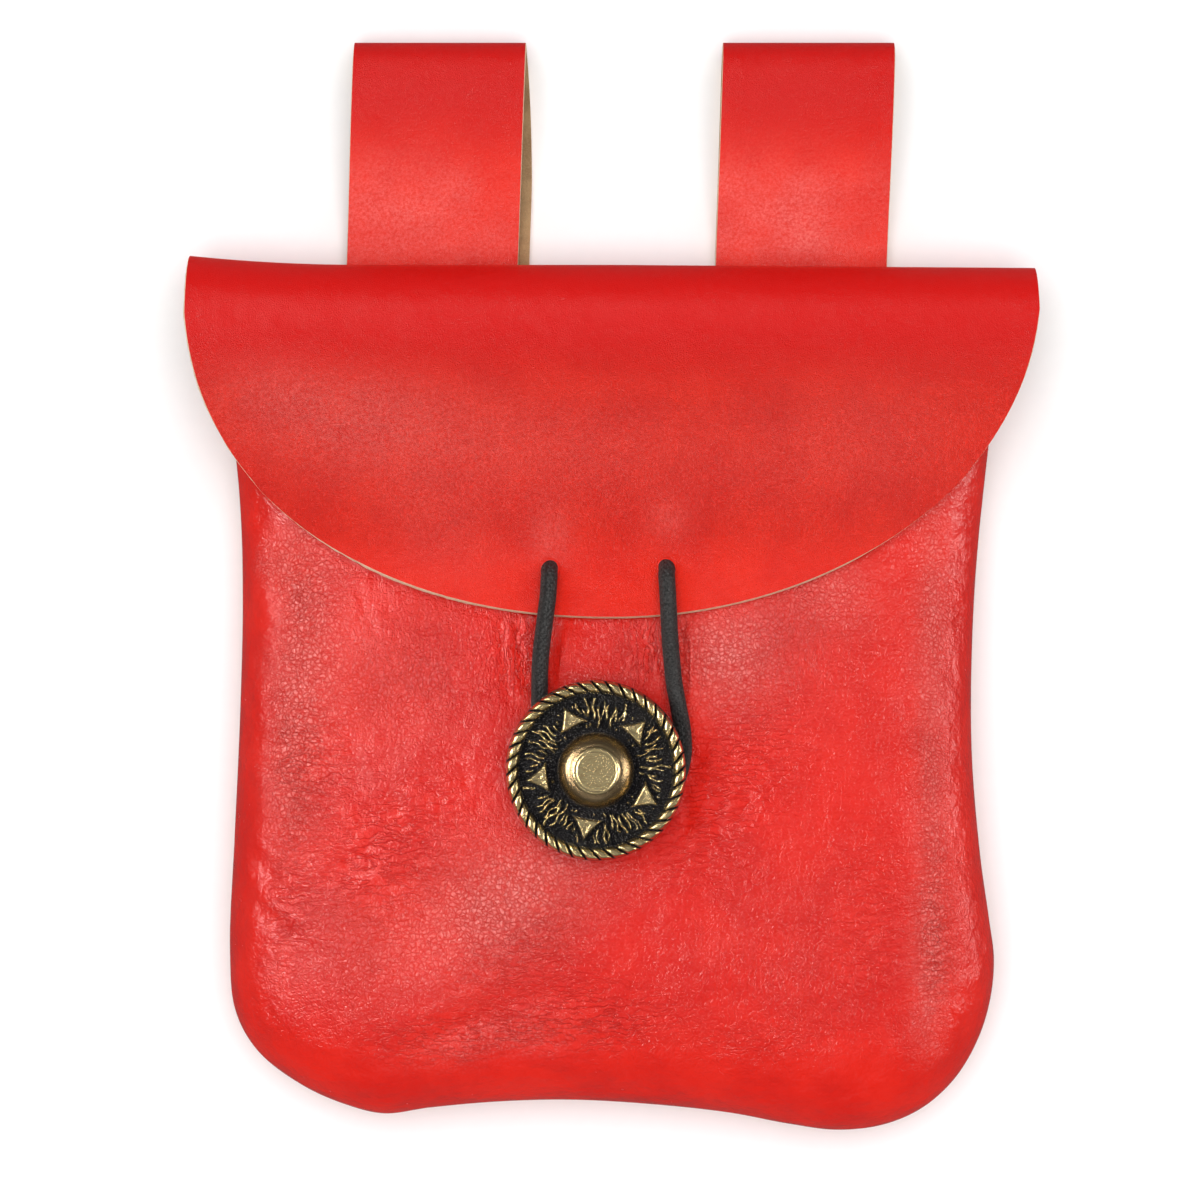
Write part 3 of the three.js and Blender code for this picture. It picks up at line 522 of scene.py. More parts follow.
class Finish:
    """A material, the place on its object in millimetres, and short ways to add nodes."""

    def __init__(self, name):
        self.material = bpy.data.materials.new(name)
        self.material.use_nodes = True
        self.tree = self.material.node_tree
        self.shader = self.tree.nodes["Principled BSDF"]
        metres = self.add("ShaderNodeTexCoord", {}, output="Object")
        self.place = self.vector("MULTIPLY", metres, (1000.0, 1000.0, 1000.0))

    def feed(self, socket, value):
        if isinstance(value, bpy.types.NodeSocket):
            self.tree.links.new(value, socket)
        else:
            socket.default_value = value

    def add(self, kind, inputs, output=0, **settings):
        node = self.tree.nodes.new(kind)
        for key, value in settings.items():
            setattr(node, key, value)
        for key, value in inputs.items():
            self.feed(node.inputs[key], value)
        return node.outputs[output]

    def math(self, operation, first, second=0.0, clamp=False):
        return self.add("ShaderNodeMath", {0: first, 1: second}, operation=operation, use_clamp=clamp)

    def times(self, first, second):
        return self.math("MULTIPLY", first, second)

    def scaled(self, value, times, plus):
        return self.add("ShaderNodeMath", {0: value, 1: times, 2: plus}, operation="MULTIPLY_ADD")

    def vector(self, operation, first, second):
        return self.add("ShaderNodeVectorMath", {0: first, 1: second}, operation=operation)

    def mix_colour(self, share, first, second):
        return self.add("ShaderNodeMix", {0: share, 6: first, 7: second}, output=2, data_type="RGBA")

    def band(self, value, low, high, start=0.0, end=1.0):
        inputs = {"Value": value, "From Min": low, "From Max": high, "To Min": start, "To Max": end}
        return self.add("ShaderNodeMapRange", inputs, interpolation_type="SMOOTHSTEP")

    def attribute(self, name):
        return self.add("ShaderNodeAttribute", {}, output="Fac", attribute_name=name)

    def stretched(self, place, turn, scale):
        inputs = {"Vector": place, "Rotation": (0, 0, math.radians(turn)), "Scale": scale}
        return self.add("ShaderNodeMapping", inputs)

    def noise(self, place, scale, detail=2.0, roughness=0.5):
        inputs = {"Vector": place, "Scale": scale, "Detail": detail, "Roughness": roughness}
        return self.add("ShaderNodeTexNoise", inputs)

    def warped(self, place, scale, reach):
        inputs = {"Vector": place, "Scale": scale, "Detail": 2.0}
        colour = self.add("ShaderNodeTexNoise", inputs, output="Color")
        centred = self.vector("SUBTRACT", colour, (0.5, 0.5, 0.5))
        return self.vector("ADD", place, self.vector("MULTIPLY", centred, (reach, reach, reach)))

    def cells(self, place, scale):
        """Distance from the edges of cells."""
        inputs = {"Vector": place, "Scale": scale}
        return self.add("ShaderNodeTexVoronoi", inputs, output="Distance", feature="DISTANCE_TO_EDGE")

    def bump(self, height, distance, strength=1.0, normal=None):
        inputs = {"Height": height, "Distance": distance, "Strength": strength}
        if normal is not None:
            inputs["Normal"] = normal
        return self.add("ShaderNodeBump", inputs)

    def set(self, **values):
        for key, value in values.items():
            self.feed(self.shader.inputs[key.replace("_", " ")], value)


def creases(finish, place, turn, scale):
    """Wandering creases that run one way, from 0 between them to 1 on them."""
    value = finish.noise(finish.stretched(place, turn, scale), 1.0, 3.0, 0.55)
    centred = finish.math("ABSOLUTE", finish.math("SUBTRACT", value, 0.5))
    return finish.band(centred, 0.0, 0.055, 1.0, 0.0)


FIRM_REDS = (srgb(219, 26, 9), srgb(232, 36, 15))
SOFT_REDS = (srgb(205, 20, 7), srgb(219, 28, 12))
# Painted highlight: the pale pink that paints a sheen on the red leather
RED_PAINTED_SHEEN = srgb(255, 148, 141)
# Painted shade: dark red painted into creases and the low places of the grain
RED_PAINTED_SHADE = srgb(160, 8, 5)
# Painted shade: darker red painted where the leather turns away from the light
RED_TOP_SHADE = srgb(200, 6, 2)


def dyed_red(f, reds, painted_sheen, scale, relief):
    """Red dye that varies softly, with a pale sheen painted on the high parts of the given places (painted
    highlight).
    """
    mottled = f.mix_colour(f.band(f.noise(f.place, 0.09, 4.0), 0.3, 0.7), *reds)
    # Painted highlight: a patchy pale sheen, strongest on the high parts of the relief
    wear_and_sheen = f.band(f.noise(f.place, scale, 3.0, 0.7), 0.3, 0.7, 0.25, 1.0)
    wear_and_sheen = f.times(wear_and_sheen, f.band(relief, 0.0, 1.0, 0.35, 1.0))
    return f.mix_colour(f.times(painted_sheen, wear_and_sheen), mottled, RED_PAINTED_SHEEN)


def firm_leather(name):
    """Firm dyed leather with a very fine pebble grain that fades where the fold stretches it."""
    f = Finish(name)
    grain = f.attribute("grain")
    # Places where a sheen is painted (painted highlight)
    painted_sheen = f.attribute("painted_sheen")
    pebbles = f.band(f.cells(f.warped(f.place, 0.8, 0.3), 2.9), 0.0, 0.3)
    fine = f.noise(f.place, 4.5, 3.0, 0.65)
    height = f.scaled(pebbles, 0.5, f.times(fine, 0.9))
    height = f.times(height, grain)
    normal = f.bump(f.noise(f.place, 0.12, 3.0, 0.5), 0.0011, 0.5)
    normal = f.bump(height, 0.00026, 1.0, normal)
    colour = dyed_red(f, FIRM_REDS, painted_sheen, 1.8, fine)
    # Painted shade: darker red painted on the flap beside the fold and on the loops' upper parts
    colour = f.mix_colour(f.attribute("deep"), colour, RED_TOP_SHADE)
    # Painted shade: the low places of the fine grain painted darker red
    pore_shade = f.times(f.band(fine, 0.32, 0.52, 0.32, 0.0), grain)
    colour = f.mix_colour(pore_shade, colour, RED_PAINTED_SHADE)
    rough = f.scaled(f.noise(f.place, 0.5, 3.0), 0.14, 0.3)
    f.set(Base_Color=colour, Roughness=rough, Normal=normal, Specular_IOR_Level=0.2)
    return f.material


# Ways that the soft leather's creases run: turn in degrees, and how much finer they are along each axis
CREASE_WAYS = {
    "upright": (4, (0.95, 0.2, 0.4)),
    "level": (-4, (0.2, 0.95, 0.4)),
    "rising": (-38, (0.2, 0.8, 0.4)),
    "falling": (55, (0.18, 0.75, 0.4)),
}


def soft_leather(name):
    """Soft leather with crackled cells and creases that run different ways in different places."""
    f = Finish(name)
    grain = f.attribute("grain")
    # Places where a sheen is painted (painted highlight)
    painted_sheen = f.attribute("painted_sheen")
    bent = f.warped(f.place, 0.4, 1.5)
    edge = f.cells(bent, 1.25)
    small_edge = f.cells(f.warped(f.place, 1.3, 0.5), 2.8)
    pillow = f.band(edge, 0.0, 0.34)
    crackle = f.band(edge, 0.0, 0.07)
    small = f.band(small_edge, 0.0, 0.3)
    network = f.scaled(small, 0.24, f.scaled(pillow, 0.42, f.times(crackle, 0.16)))
    height = f.times(network, grain)
    folded = 0.0
    for way, (turn, stretch) in CREASE_WAYS.items():
        line = f.times(creases(f, bent, turn, stretch), f.attribute(way))
        folded = f.math("MAXIMUM", line, folded)
    height = f.math("SUBTRACT", height, f.times(folded, 0.6))
    height = f.scaled(f.noise(f.place, 6.0, 2.0, 0.6), 0.12, height)
    normal = f.bump(f.noise(f.place, 0.2, 3.0, 0.55), 0.0016, 0.6)
    normal = f.bump(height, 0.0003, 1.0, normal)
    colour = dyed_red(f, SOFT_REDS, painted_sheen, 1.4, pillow)
    # Painted shade: dark red painted along the lines between the grain cells and into the creases
    lines_shade = f.times(f.band(edge, 0.0, 0.1, 0.14, 0.0), grain)
    shade = f.math("MAXIMUM", lines_shade, f.times(folded, 0.5))
    colour = f.mix_colour(shade, colour, RED_PAINTED_SHADE)
    rough = f.scaled(f.noise(f.place, 0.5, 3.0), 0.14, 0.17)
    f.set(Base_Color=colour, Roughness=rough, Normal=normal, Specular_IOR_Level=0.36)
    return f.material


def flesh_side(name):
    """Tan suede of the leather's inner face."""
    f = Finish(name)
    fibres = f.noise(f.place, 3.5, 4.0, 0.7)
    tones = f.noise(f.place, 0.25, 3.0)
    colour = f.mix_colour(f.band(tones, 0.3, 0.7), srgb(176, 142, 100), srgb(150, 116, 78))
    colour = f.mix_colour(f.band(fibres, 0.35, 0.7, 0.0, 0.35), colour, srgb(206, 176, 134))
    f.set(Base_Color=colour, Roughness=0.95, Normal=f.bump(fibres, 0.00025), Sheen_Weight=0.3)
    return f.material


def drawn_out(name, turn, stretch, grain, tones, relief, **values):
    """Plain material with two tones and a low relief that are drawn out one way."""
    f = Finish(name)
    marks = f.noise(f.stretched(f.place, turn, stretch), *grain)
    colour = f.mix_colour(f.band(marks, 0.3, 0.7), *tones)
    f.set(Base_Color=colour, Normal=f.bump(marks, relief), **values)
    return f.material


def antique_brass(name):
    """Cast brass, blackened in its recesses and rubbed bright on its high places."""
    f = Finish(name)
    polish = f.attribute("polish")
    bronze = f.attribute("bronze")
    worn = f.noise(f.place, 3.2, 4.0, 0.7)
    share = f.math("ADD", polish, f.times(f.math("SUBTRACT", worn, 0.5), 0.4), clamp=True)
    share = f.band(share, 0.28, 0.6)
    scratches = f.noise(f.stretched(f.place, 20, (0.5, 3.0, 1.0)), 2.0, 3.0, 0.6)
    bright = f.mix_colour(f.band(scratches, 0.3, 0.7), srgb(226, 210, 160), srgb(196, 172, 122))
    bright = f.mix_colour(bronze, bright, srgb(118, 92, 70))
    speck = f.noise(f.place, 3.6, 3.0, 0.75)
    # Light grey specks in the blackened field: partly bare grit of the metal, partly painted glints
    grit_and_glints = f.times(f.band(speck, 0.58, 0.66, 0.0, 0.55), f.band(share, 0.0, 0.4, 1.0, 0.0))
    black = f.mix_colour(grit_and_glints, srgb(28, 26, 29), srgb(150, 145, 140))
    colour = f.mix_colour(share, black, bright)
    rough = f.band(share, 0.0, 1.0, 0.22, 0.26)
    metal = f.band(share, 0.1, 0.6, 0.45, 1.0)
    dents = f.band(share, 0.2, 0.8, 1.0, 0.1)
    normal = f.bump(f.times(speck, dents), 0.0006)
    f.set(Base_Color=colour, Roughness=rough, Metallic=metal, Normal=normal)
    return f.material


def elastic_cover(name):
    """Fine black braid round an elastic core."""
    f = Finish(name)
    along = f.attribute("along")
    around = f.attribute("around")
    ways = []
    for way in (1.0, -1.0):
        phase = f.math("ADD", f.times(along, 5.2), f.times(around, 9.0 * way))
        ways.append(f.math("SINE", phase))
    braid = f.math("MAXIMUM", ways[0], ways[1])
    fuzz = f.noise(f.place, 2.6, 4.0, 0.8)
    height = f.scaled(braid, 0.4, fuzz)
    colour = f.mix_colour(f.band(fuzz, 0.42, 0.64), srgb(9, 9, 9), srgb(58, 56, 56))
    f.set(Base_Color=colour, Roughness=0.62, Normal=f.bump(height, 0.0003))
    return f.material


def floor_cover(name):
    f = Finish(name)
    paper = f.noise(f.place, 0.4, 3.0)
    colour = f.mix_colour(paper, srgb(250, 250, 250), srgb(247, 247, 247))
    f.set(Base_Color=colour, Roughness=0.9, Specular_IOR_Level=0.1)
    return f.material


FIRM = firm_leather("firm_leather_red")
SOFT = soft_leather("soft_leather_red")
FLESH = flesh_side("leather_flesh_side")
BRASS = antique_brass("antique_brass")
ELASTIC = elastic_cover("elastic_braid")
# Pale cut edge in layers of fibre, the hidden screw's steel with turning marks, and twisted thread
EDGE_TONES = (srgb(242, 222, 192), srgb(218, 172, 132))
STEEL_TONES = (srgb(150, 150, 148), srgb(186, 186, 184))
THREAD_TONES = (srgb(120, 18, 14), srgb(170, 34, 26))
RAW = drawn_out("leather_raw_edge", 0, (1.0, 1.0, 4.0), (1.8, 3.0, 0.7), EDGE_TONES, 0.0002, Roughness=0.85)
STEEL = drawn_out(
    "worn_steel", 0, (0.6, 0.6, 9.0), (2.0, 3.0), STEEL_TONES, 0.00005, Metallic=1.0, Roughness=0.38
)
THREAD = drawn_out("waxed_thread", 35, (1.0, 6.0, 1.0), (1.5, 2.0), THREAD_TONES, 0.0001, Roughness=0.55)
# Materials of a leather wall: grain side, flesh side and raw edge
FIRM_SIDES = [FIRM, FLESH, RAW]
SOFT_SIDES = [SOFT, FLESH, RAW]

# Places where the leather is grained or creased, and where a pale sheen is painted on it (painted
# highlight), in
# millimetres: x, y, reach across, reach up, turn in degrees, amount
POCKET_PAINTED_SHEEN = [
    (-57, -60, 8, 18, 12, 0.8), (-58, -84, 7, 12, 0, 0.7), (-60, -98, 6, 8, 0, 0.5),
    (-18, -113, 13, 9, 30, 0.9), (-34, -122, 14, 10, 20, 0.28), (20, -70, 9, 9, 20, 0.8),
    (58, -78, 3, 32, 0, 0.8), (57, -125, 3, 16, 0, 0.6), (38, -58, 9, 7, -20, 0.5),
    (-22, -140, 14, 4, 12, 0.4), (-36, -76, 10, 9, 0, 0.25), (-48, -120, 10, 12, 0, 0.12),
]
POCKET_CREASED = {
    "upright": [
        (-15, -70, 6, 10, 0, 0.9), (8, -70, 8, 9, 0, 0.9), (30, -68, 14, 12, 0, 0.5),
        (-34, -72, 16, 12, 0, 0.5), (34, -130, 26, 18, 0, 0.35), (-30, -104, 12, 12, 0, 0.35),
        (-12, -112, 12, 10, 0, 0.4),
    ],
    "level": [
        (-28, -140, 18, 7, 0, 0.8), (58, -122, 4, 18, 0, 0.8), (-10, -128, 14, 8, 0, 0.4),
        (0, -136, 16, 6, 0, 0.6), (57, -80, 4, 20, 0, 0.4),
    ],
    "rising": [
        (-40, -106, 18, 12, 37, 0.75), (14, -100, 14, 16, 45, 0.5), (-16, -124, 16, 10, 37, 0.7),
        (26, -84, 14, 10, 40, 0.5),
    ],
    "falling": [
        (-56, -90, 10, 12, 0, 0.8), (-58, -114, 9, 12, 0, 0.7), (-58, -60, 10, 12, 0, 0.6),
        (46, -120, 12, 20, 0, 0.45), (26, -140, 16, 6, 0, 0.5),
    ],
}
# Painted highlight on the flap: places of painted sheen
FLAP_PAINTED_SHEEN = [
    (-48, -27, 24, 11, -8, 0.4), (-8, -34, 30, 10, 0, 0.2), (44, -32, 22, 12, 8, 0.18),
    (-11, -49, 4, 5, 0, 0.3), (-62, -18, 9, 8, 0, 0.16), (10, -46, 4, 4, 0, 0.24),
    (-30, -48, 12, 8, -30, 0.16),
]


def patches(rows, x, y):
    total = np.zeros(np.shape(x))
    for px, py, wide, tall, turn, amount in rows:
        along, beside = turned(x - px, y - py, turn)
        total += amount * np.exp(-((along / wide) ** 2) - (beside / tall) ** 2)
    return np.clip(total, 0, 1)


# Pocket
POCKET_DOWN = 160
POCKET_ACROSS = 190
SKIRT_ROWS = 18
SKIRT_TOP = 0.82
SKIRT_EASE = 0.4


def build_pocket():
    heights = np.linspace(0, SKIRT_TOP, SKIRT_ROWS + 1)
    edge = perimeter(POCKET_DOWN, POCKET_ACROSS, roll_inset(SKIRT_TOP))
    grid = fill_outline(edge, POCKET_DOWN, POCKET_ACROSS)
    x, y = grid[..., 0], grid[..., 1]
    distance = distance_to_outline(x, y)
    z = pocket_height(x, y, roll_height(distance))
    points = [np.stack([x, y, z], axis=-1).reshape(-1, 3)]
    columns = POCKET_ACROSS + 1
    numbers = np.arange((POCKET_DOWN + 1) * columns).reshape(-1, columns)
    rim = np.concatenate([numbers[:-1, 0], numbers[-1], numbers[:-1, -1][::-1]])
    quads = [grid_quads(POCKET_DOWN + 1, columns)]
    above = rim
    start = numbers.size
    for height in heights[:-1][::-1]:
        ring = perimeter(POCKET_DOWN, POCKET_ACROSS, roll_inset(height))
        rx, ry = ring[:, 0], ring[:, 1]
        rolled = roll_height(distance_to_outline(rx, ry))
        rise = mix(height, rolled, smooth((height - SKIRT_EASE) / (SKIRT_TOP - SKIRT_EASE)))
        points.append(np.stack([rx, ry, pocket_height(rx, ry, rise)], axis=1))
        below = start + np.arange(len(ring))
        quads.append(np.stack([above[:-1], below[:-1], below[1:], above[1:]], axis=1))
        start += len(ring)
        above = below
    points = np.concatenate(points)
    quads = np.concatenate(quads)
    normals = point_normals(points, quads)
    x, y = points[:, 0], points[:, 1]
    inside = distance_to_outline(x, y)
    front = open_front(x, y) * smooth((normals[:, 2] - 0.25) / 0.5)
    detail = crease_height(x, y) + wrinkle_height(x, y) * smooth((inside - 3) / 6)
    clear = smooth((np.hypot(x - CONCHO_X, y - CONCHO_Y) - STEM_RADIUS - 1) / 3)
    points = points + normals * (detail * front * clear)[:, None]
    solid, faces, kinds = leather_wall(points, quads, 0.0, -POCKET_WALL, 0.0)
    sx, sy = solid[:, 0], solid[:, 1]
    spread = distance_to_outline(sx, sy)
    wander = 5 * (soft_noise(sx / 9, sy / 9, 15) - 0.5)
    face_up = smooth((spread - 2 + wander) / 9) * smooth((sy + BODY_LENGTH - 8 + wander) / 12)
    # Painted highlight: sheen painted at the listed places, where the grain is also coarser
    wear_and_sheen = patches(POCKET_PAINTED_SHEEN, sx, sy)
    texture = np.clip(0.34 + 0.75 * wear_and_sheen + 0.35 * (soft_noise(sx / 11, sy / 11, 16) - 0.4), 0, 1)
    values = {"grain": mix(0.1, texture, face_up), "painted_sheen": wear_and_sheen * face_up}
    for way, rows in POCKET_CREASED.items():
        values[way] = patches(rows, sx, sy) * face_up
    pocket = make_object("pocket_leather", solid, faces, SOFT_SIDES, kinds, values, SHARP_ANGLE)
    stands_for(pocket, "pocket")


# Back panel, fold and flap in one sheet
PANEL_DOWN = 60
FLAP_ACROSS = 190
MOUTH_ROWS = 7
FOLD_ROWS = 26
FLAP_ROWS = 120
FOLD_NARROWING = 0.985
FOLD_EASE_LENGTH = 13
HOLE_DIAMETER = 3.5
HOLE_GRID = (40, 28)
PUCKER_DEPTH = 0.45
PUCKER_RIDGE = 0.16


def flap_rise(x, y, fold_y):
    settled = smooth((fold_y - y) / 36)
    reach = np.maximum(BODY_WIDTH / 2 - np.abs(x), 6)
    draped = crown(x) * mix(1, roll_height(reach), 0.6)
    return mix(1, draped, settled)


def flap_reach(y, power):
    share = np.clip((-FLAP_SHOULDER - y) / (FLAP_DROP - FLAP_SHOULDER), 0, 1)
    return FLAP_WIDTH / 2 * (1 - share**power) ** (1 / power)


def flare(x):
    left = np.clip((-x / (FLAP_WIDTH / 2) - 0.58) / 0.42, 0, 1)
    return FLAP_FLARE * left**2 - FLAP_FLARE / 3 * np.clip(x / (FLAP_WIDTH / 2), 0, 1)


def flap_height(x, y, fold_y):
    front = RIM_LIFT + middle_depth(y) * flap_rise(x, y, fold_y) + FLAP_LAY_GAP
    return underside_height(y) + front + PANEL_WALL / 2


def pucker(x, y):
    """Small pull of the flap towards its two holes."""
    total = np.zeros(np.shape(x))
    for side in (-1, 1):
        dx = x - (HOLES_MIDDLE + side * HOLE_SPACING / 2)
        dy = y + HOLE_DOWN
        total -= PUCKER_DEPTH * np.exp(-(dx**2 + dy**2) / 9)
        total += PUCKER_RIDGE * np.exp(-((dx / 1.6) ** 2) - ((dy - 6) / 4) ** 2)
    return total


def flap_edge_bulge(points, fold_z):
    """Bulge of the raw edge: uneven and widest on the flap's left, where more of it shows."""
    x, y, z = points.T
    left = smooth((-x - 8) / 30)
    right = smooth((x - 20) / 40)
    nick = soft_noise(x * 1.3, y * 1.3, 21)
    return np.where(z > fold_z, 0.07 + (0.17 * left + 0.05 * right) * (0.35 + 1.1 * nick), 0.15)


def build_panel_and_flap():
    back_z = STRAP_STACK + PANEL_WALL / 2
    front_z = float(flap_height(0.0, 0.0, 0.0))
    radius = (front_z - back_z) / 2
    fold_y = -radius - PANEL_WALL / 2
    fold_z = (front_z + back_z) / 2
    border = perimeter(PANEL_DOWN, FLAP_ACROSS, PANEL_MARGIN, 3.0)
    panel = fill_outline(border, PANEL_DOWN, FLAP_ACROSS)[::-1]
    px, py = panel[..., 0], panel[..., 1]
    rows = list(np.stack([px, py, underside_height(py) + PANEL_WALL / 2], axis=-1))
    mouth = rows[-1]
    share = np.linspace(-1, 1, FLAP_ACROSS + 1)
    fold_half = FLAP_WIDTH / 2 * FOLD_NARROWING
    for step in np.linspace(0, 1, MOUTH_ROWS + 2)[1:-1]:
        x = mix(mouth[:, 0], share * fold_half, smooth(step))
        y = mix(mouth[:, 1], fold_y, step)
        rows.append(np.stack([x, y, np.full_like(x, back_z)], axis=1))
    for step in np.linspace(0, 1, FOLD_ROWS + 1):
        angle = math.pi * step
        x = share * mix(fold_half, float(flap_reach(fold_y, FLAP_CURVE_RIGHT)), step)
        y = fold_y + (radius + flare(x)) * math.sin(angle)
        rows.append(np.stack([x, y, np.full_like(x, fold_z - radius * math.cos(angle))], axis=1))
    length = FLAP_DROP - FLAP_SHOULDER
    first_turn = math.asin((-FLAP_SHOULDER - fold_y) / length)
    for turn in np.linspace(first_turn, math.pi / 2 * 0.99, FLAP_ROWS + 1)[1:]:
        y = -FLAP_SHOULDER - length * math.sin(turn)
        x = share * np.where(share < 0, flap_reach(y, FLAP_CURVE_LEFT), flap_reach(y, FLAP_CURVE_RIGHT))
        y = np.full_like(x, y)
        settled = smooth((fold_y - y) / FOLD_EASE_LENGTH)
        z = mix(front_z, flap_height(x, y, fold_y), settled) + pucker(x, y)
        rows.append(np.stack([x, y, z], axis=1))
    rows = np.array(rows)
    points = rows.reshape(-1, 3)
    quads = grid_quads(len(rows), FLAP_ACROSS + 1)
    half = PANEL_WALL / 2
    solid, faces, kinds = leather_wall(points, quads, half, -half, flap_edge_bulge(points, fold_z))
    sx, sy, sz = solid.T
    on_flap = smooth((sz - fold_z) / 4)
    coarse = smooth((-sy - 10) / 16)
    low = 1 - 0.45 * smooth((-sy - 46) / 10)
    values = {
        "grain": mix(0.5, mix(0.22, 1.0, coarse) * low, on_flap),
        # Painted highlight: sheen painted at the flap's listed places
        "painted_sheen": patches(FLAP_PAINTED_SHEEN, sx, sy) * on_flap,
        # Painted shade: the flap's top band beside the fold painted darker
        "deep": smooth((sy + 26) / 14) * on_flap,
    }
    flap = make_object("panel_and_flap_leather", solid, faces, FIRM_SIDES, kinds, values, SHARP_ANGLE)
    for k, ends in enumerate((ELASTIC_ROUTE[:6], ELASTIC_ROUTE[-6:])):
        cut_hole(flap, tube_points(ends, HOLE_DIAMETER, *HOLE_GRID), f"hole_cutter_{k}")
    stands_for(flap, "back_panel_and_flap")


def cut_hole(thing, tube, name):
    points, faces, _ = tube
    cutter = make_object(name, points, faces, [RAW])
    modifier = thing.modifiers.new(name, "BOOLEAN")
    modifier.operation = "DIFFERENCE"
    modifier.solver = "EXACT"
    modifier.object = cutter
    modifier.material_mode = "TRANSFER"
    depsgraph = bpy.context.evaluated_depsgraph_get()
    cut = bpy.data.meshes.new_from_object(thing.evaluated_get(depsgraph))
    thing.modifiers.clear()
    old = thing.data
    thing.data = cut
    bpy.data.meshes.remove(old)
    bpy.data.objects.remove(cutter)


# Elastic: points from its end behind the middle of the flap, out through the left hole, down and round
# behind the button, up and back in through the right hole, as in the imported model
ELASTIC_ROUTE = [
    (-1.0, -54.4, 22.5), (-5.0, -54.4, 22.5), (-8.9, -54.5, 22.7), (-11.0, -54.8, 25.3),
    (-11.2, -56.4, 28.2), (-11.4, -59.6, 29.4), (-11.9, -63.6, 29.6), (-12.4, -67.5, 29.1),
    (-12.8, -71.5, 28.5), (-12.9, -75.5, 28.3), (-12.9, -80.0, 28.4), (-12.5, -86.0, 28.8),
    (-11.0, -93.0, 29.1), (-8.0, -98.8, 29.4), (-3.6, -101.9, 29.6), (0.5, -102.5, 29.6),
    (4.8, -101.0, 29.5), (8.6, -97.8, 29.4), (11.2, -93.3, 29.4), (12.6, -88.4, 29.3),
    (12.6, -84.2, 29.1), (11.8, -79.5, 28.8), (11.0, -75.0, 28.6), (10.6, -71.0, 28.6),
    (10.3, -67.5, 29.1), (10.1, -63.6, 29.6), (9.9, -59.6, 29.4), (9.7, -56.2, 28.2),
    (9.6, -54.6, 25.3), (7.5, -54.4, 22.7), (3.6, -54.4, 22.5), (-0.4, -54.4, 22.5),
]
# Steps along a tube and round it, and the shares of its radius at its last two rings
ELASTIC_GRID = (460, 24)
ROUNDED_END = (0.55, 0.88)


def ring_walls(rings, sides, first=0):
    """Quads between neighbouring rings of points."""
    faces = []
    for k in range(rings - 1):
        for i in range(sides):
            j = (i + 1) % sides
            a, b = first + k * sides, first + (k + 1) * sides
            faces.append((a + i, a + j, b + j, b + i))
    return faces


def tube_points(route, diameter, steps, sides):
    """Closed tube along a route: points, faces, and the way along and around it at each point."""
    line = spaced(spline(route, 30), np.linspace(0, 1, steps + 1))
    tangent = np.gradient(line, axis=0)
    tangent /= np.linalg.norm(tangent, axis=1, keepdims=True)
    side = np.cross(tangent[0], [0.0, 0.0, 1.0])
    side /= np.linalg.norm(side)
    ways = []
    for way in tangent:
        side = side - way * (side @ way)
        side = side / np.linalg.norm(side)
        ways.append(side)
    side = np.array(ways)
    up = np.cross(side, tangent)
    turn = np.linspace(0, 2 * math.pi, sides, endpoint=False)
    shrink = np.ones(steps + 1)
    shrink[:2] = ROUNDED_END
    shrink[-2:] = ROUNDED_END[::-1]
    reach = (diameter / 2 * shrink)[:, None, None]
    round_it = np.cos(turn)[:, None] * side[:, None] + np.sin(turn)[:, None] * up[:, None]
    rings = line[:, None] + reach * round_it
    points = np.concatenate([rings.reshape(-1, 3), line[:1], line[-1:]])
    count = (steps + 1) * sides
    faces = ring_walls(steps + 1, sides)
    for i in range(sides):
        j = (i + 1) % sides
        faces.append((count, j, i))
        faces.append((count + 1, steps * sides + i, steps * sides + j))
    length = np.linalg.norm(np.diff(line, axis=0), axis=1).sum()
    along = np.concatenate([np.repeat(np.arange(steps + 1), sides) * length / steps, [0, length]])
    around = np.concatenate([np.tile(turn, steps + 1), [0, 0]])
    return points, faces, {"along": along, "around": around}


def build_elastic():
    points, faces, values = tube_points(ELASTIC_ROUTE, ELASTIC_DIAMETER, *ELASTIC_GRID)
    elastic = make_object("elastic_cord", points, faces, [ELASTIC], None, values)
    stands_for(elastic, "elastic_loop")


# Belt loops: along as a share of the loop's rise, up of its spread, front 1 on the front leaf
LOOP_PROFILE = [
    (-0.02, 0.0, 1), (0.1, 0.03, 1), (0.25, 0.25, 1), (0.45, 0.62, 1), (0.66, 0.92, 1), (0.84, 1.0, 1),
    (0.955, 0.86, 1), (1.0, 0.5, 0), (0.965, 0.14, 0), (0.86, 0.0, 0), (0.7, 0.0, 0), (0.4, 0.0, 0),
]
LOOPS = {
    "belt_loop_left": {"across": -0.472, "lean": 0.05, "skew": 0.065, "bow": 0.022, "seed": 31},
    "belt_loop_right": {"across": 0.497, "lean": 0.041, "skew": 0.0, "bow": 0.0, "seed": 32},
}
LOOP_STEPS = 230
LOOP_ACROSS = 30
STRAP_EDGE_BULGE = 0.12


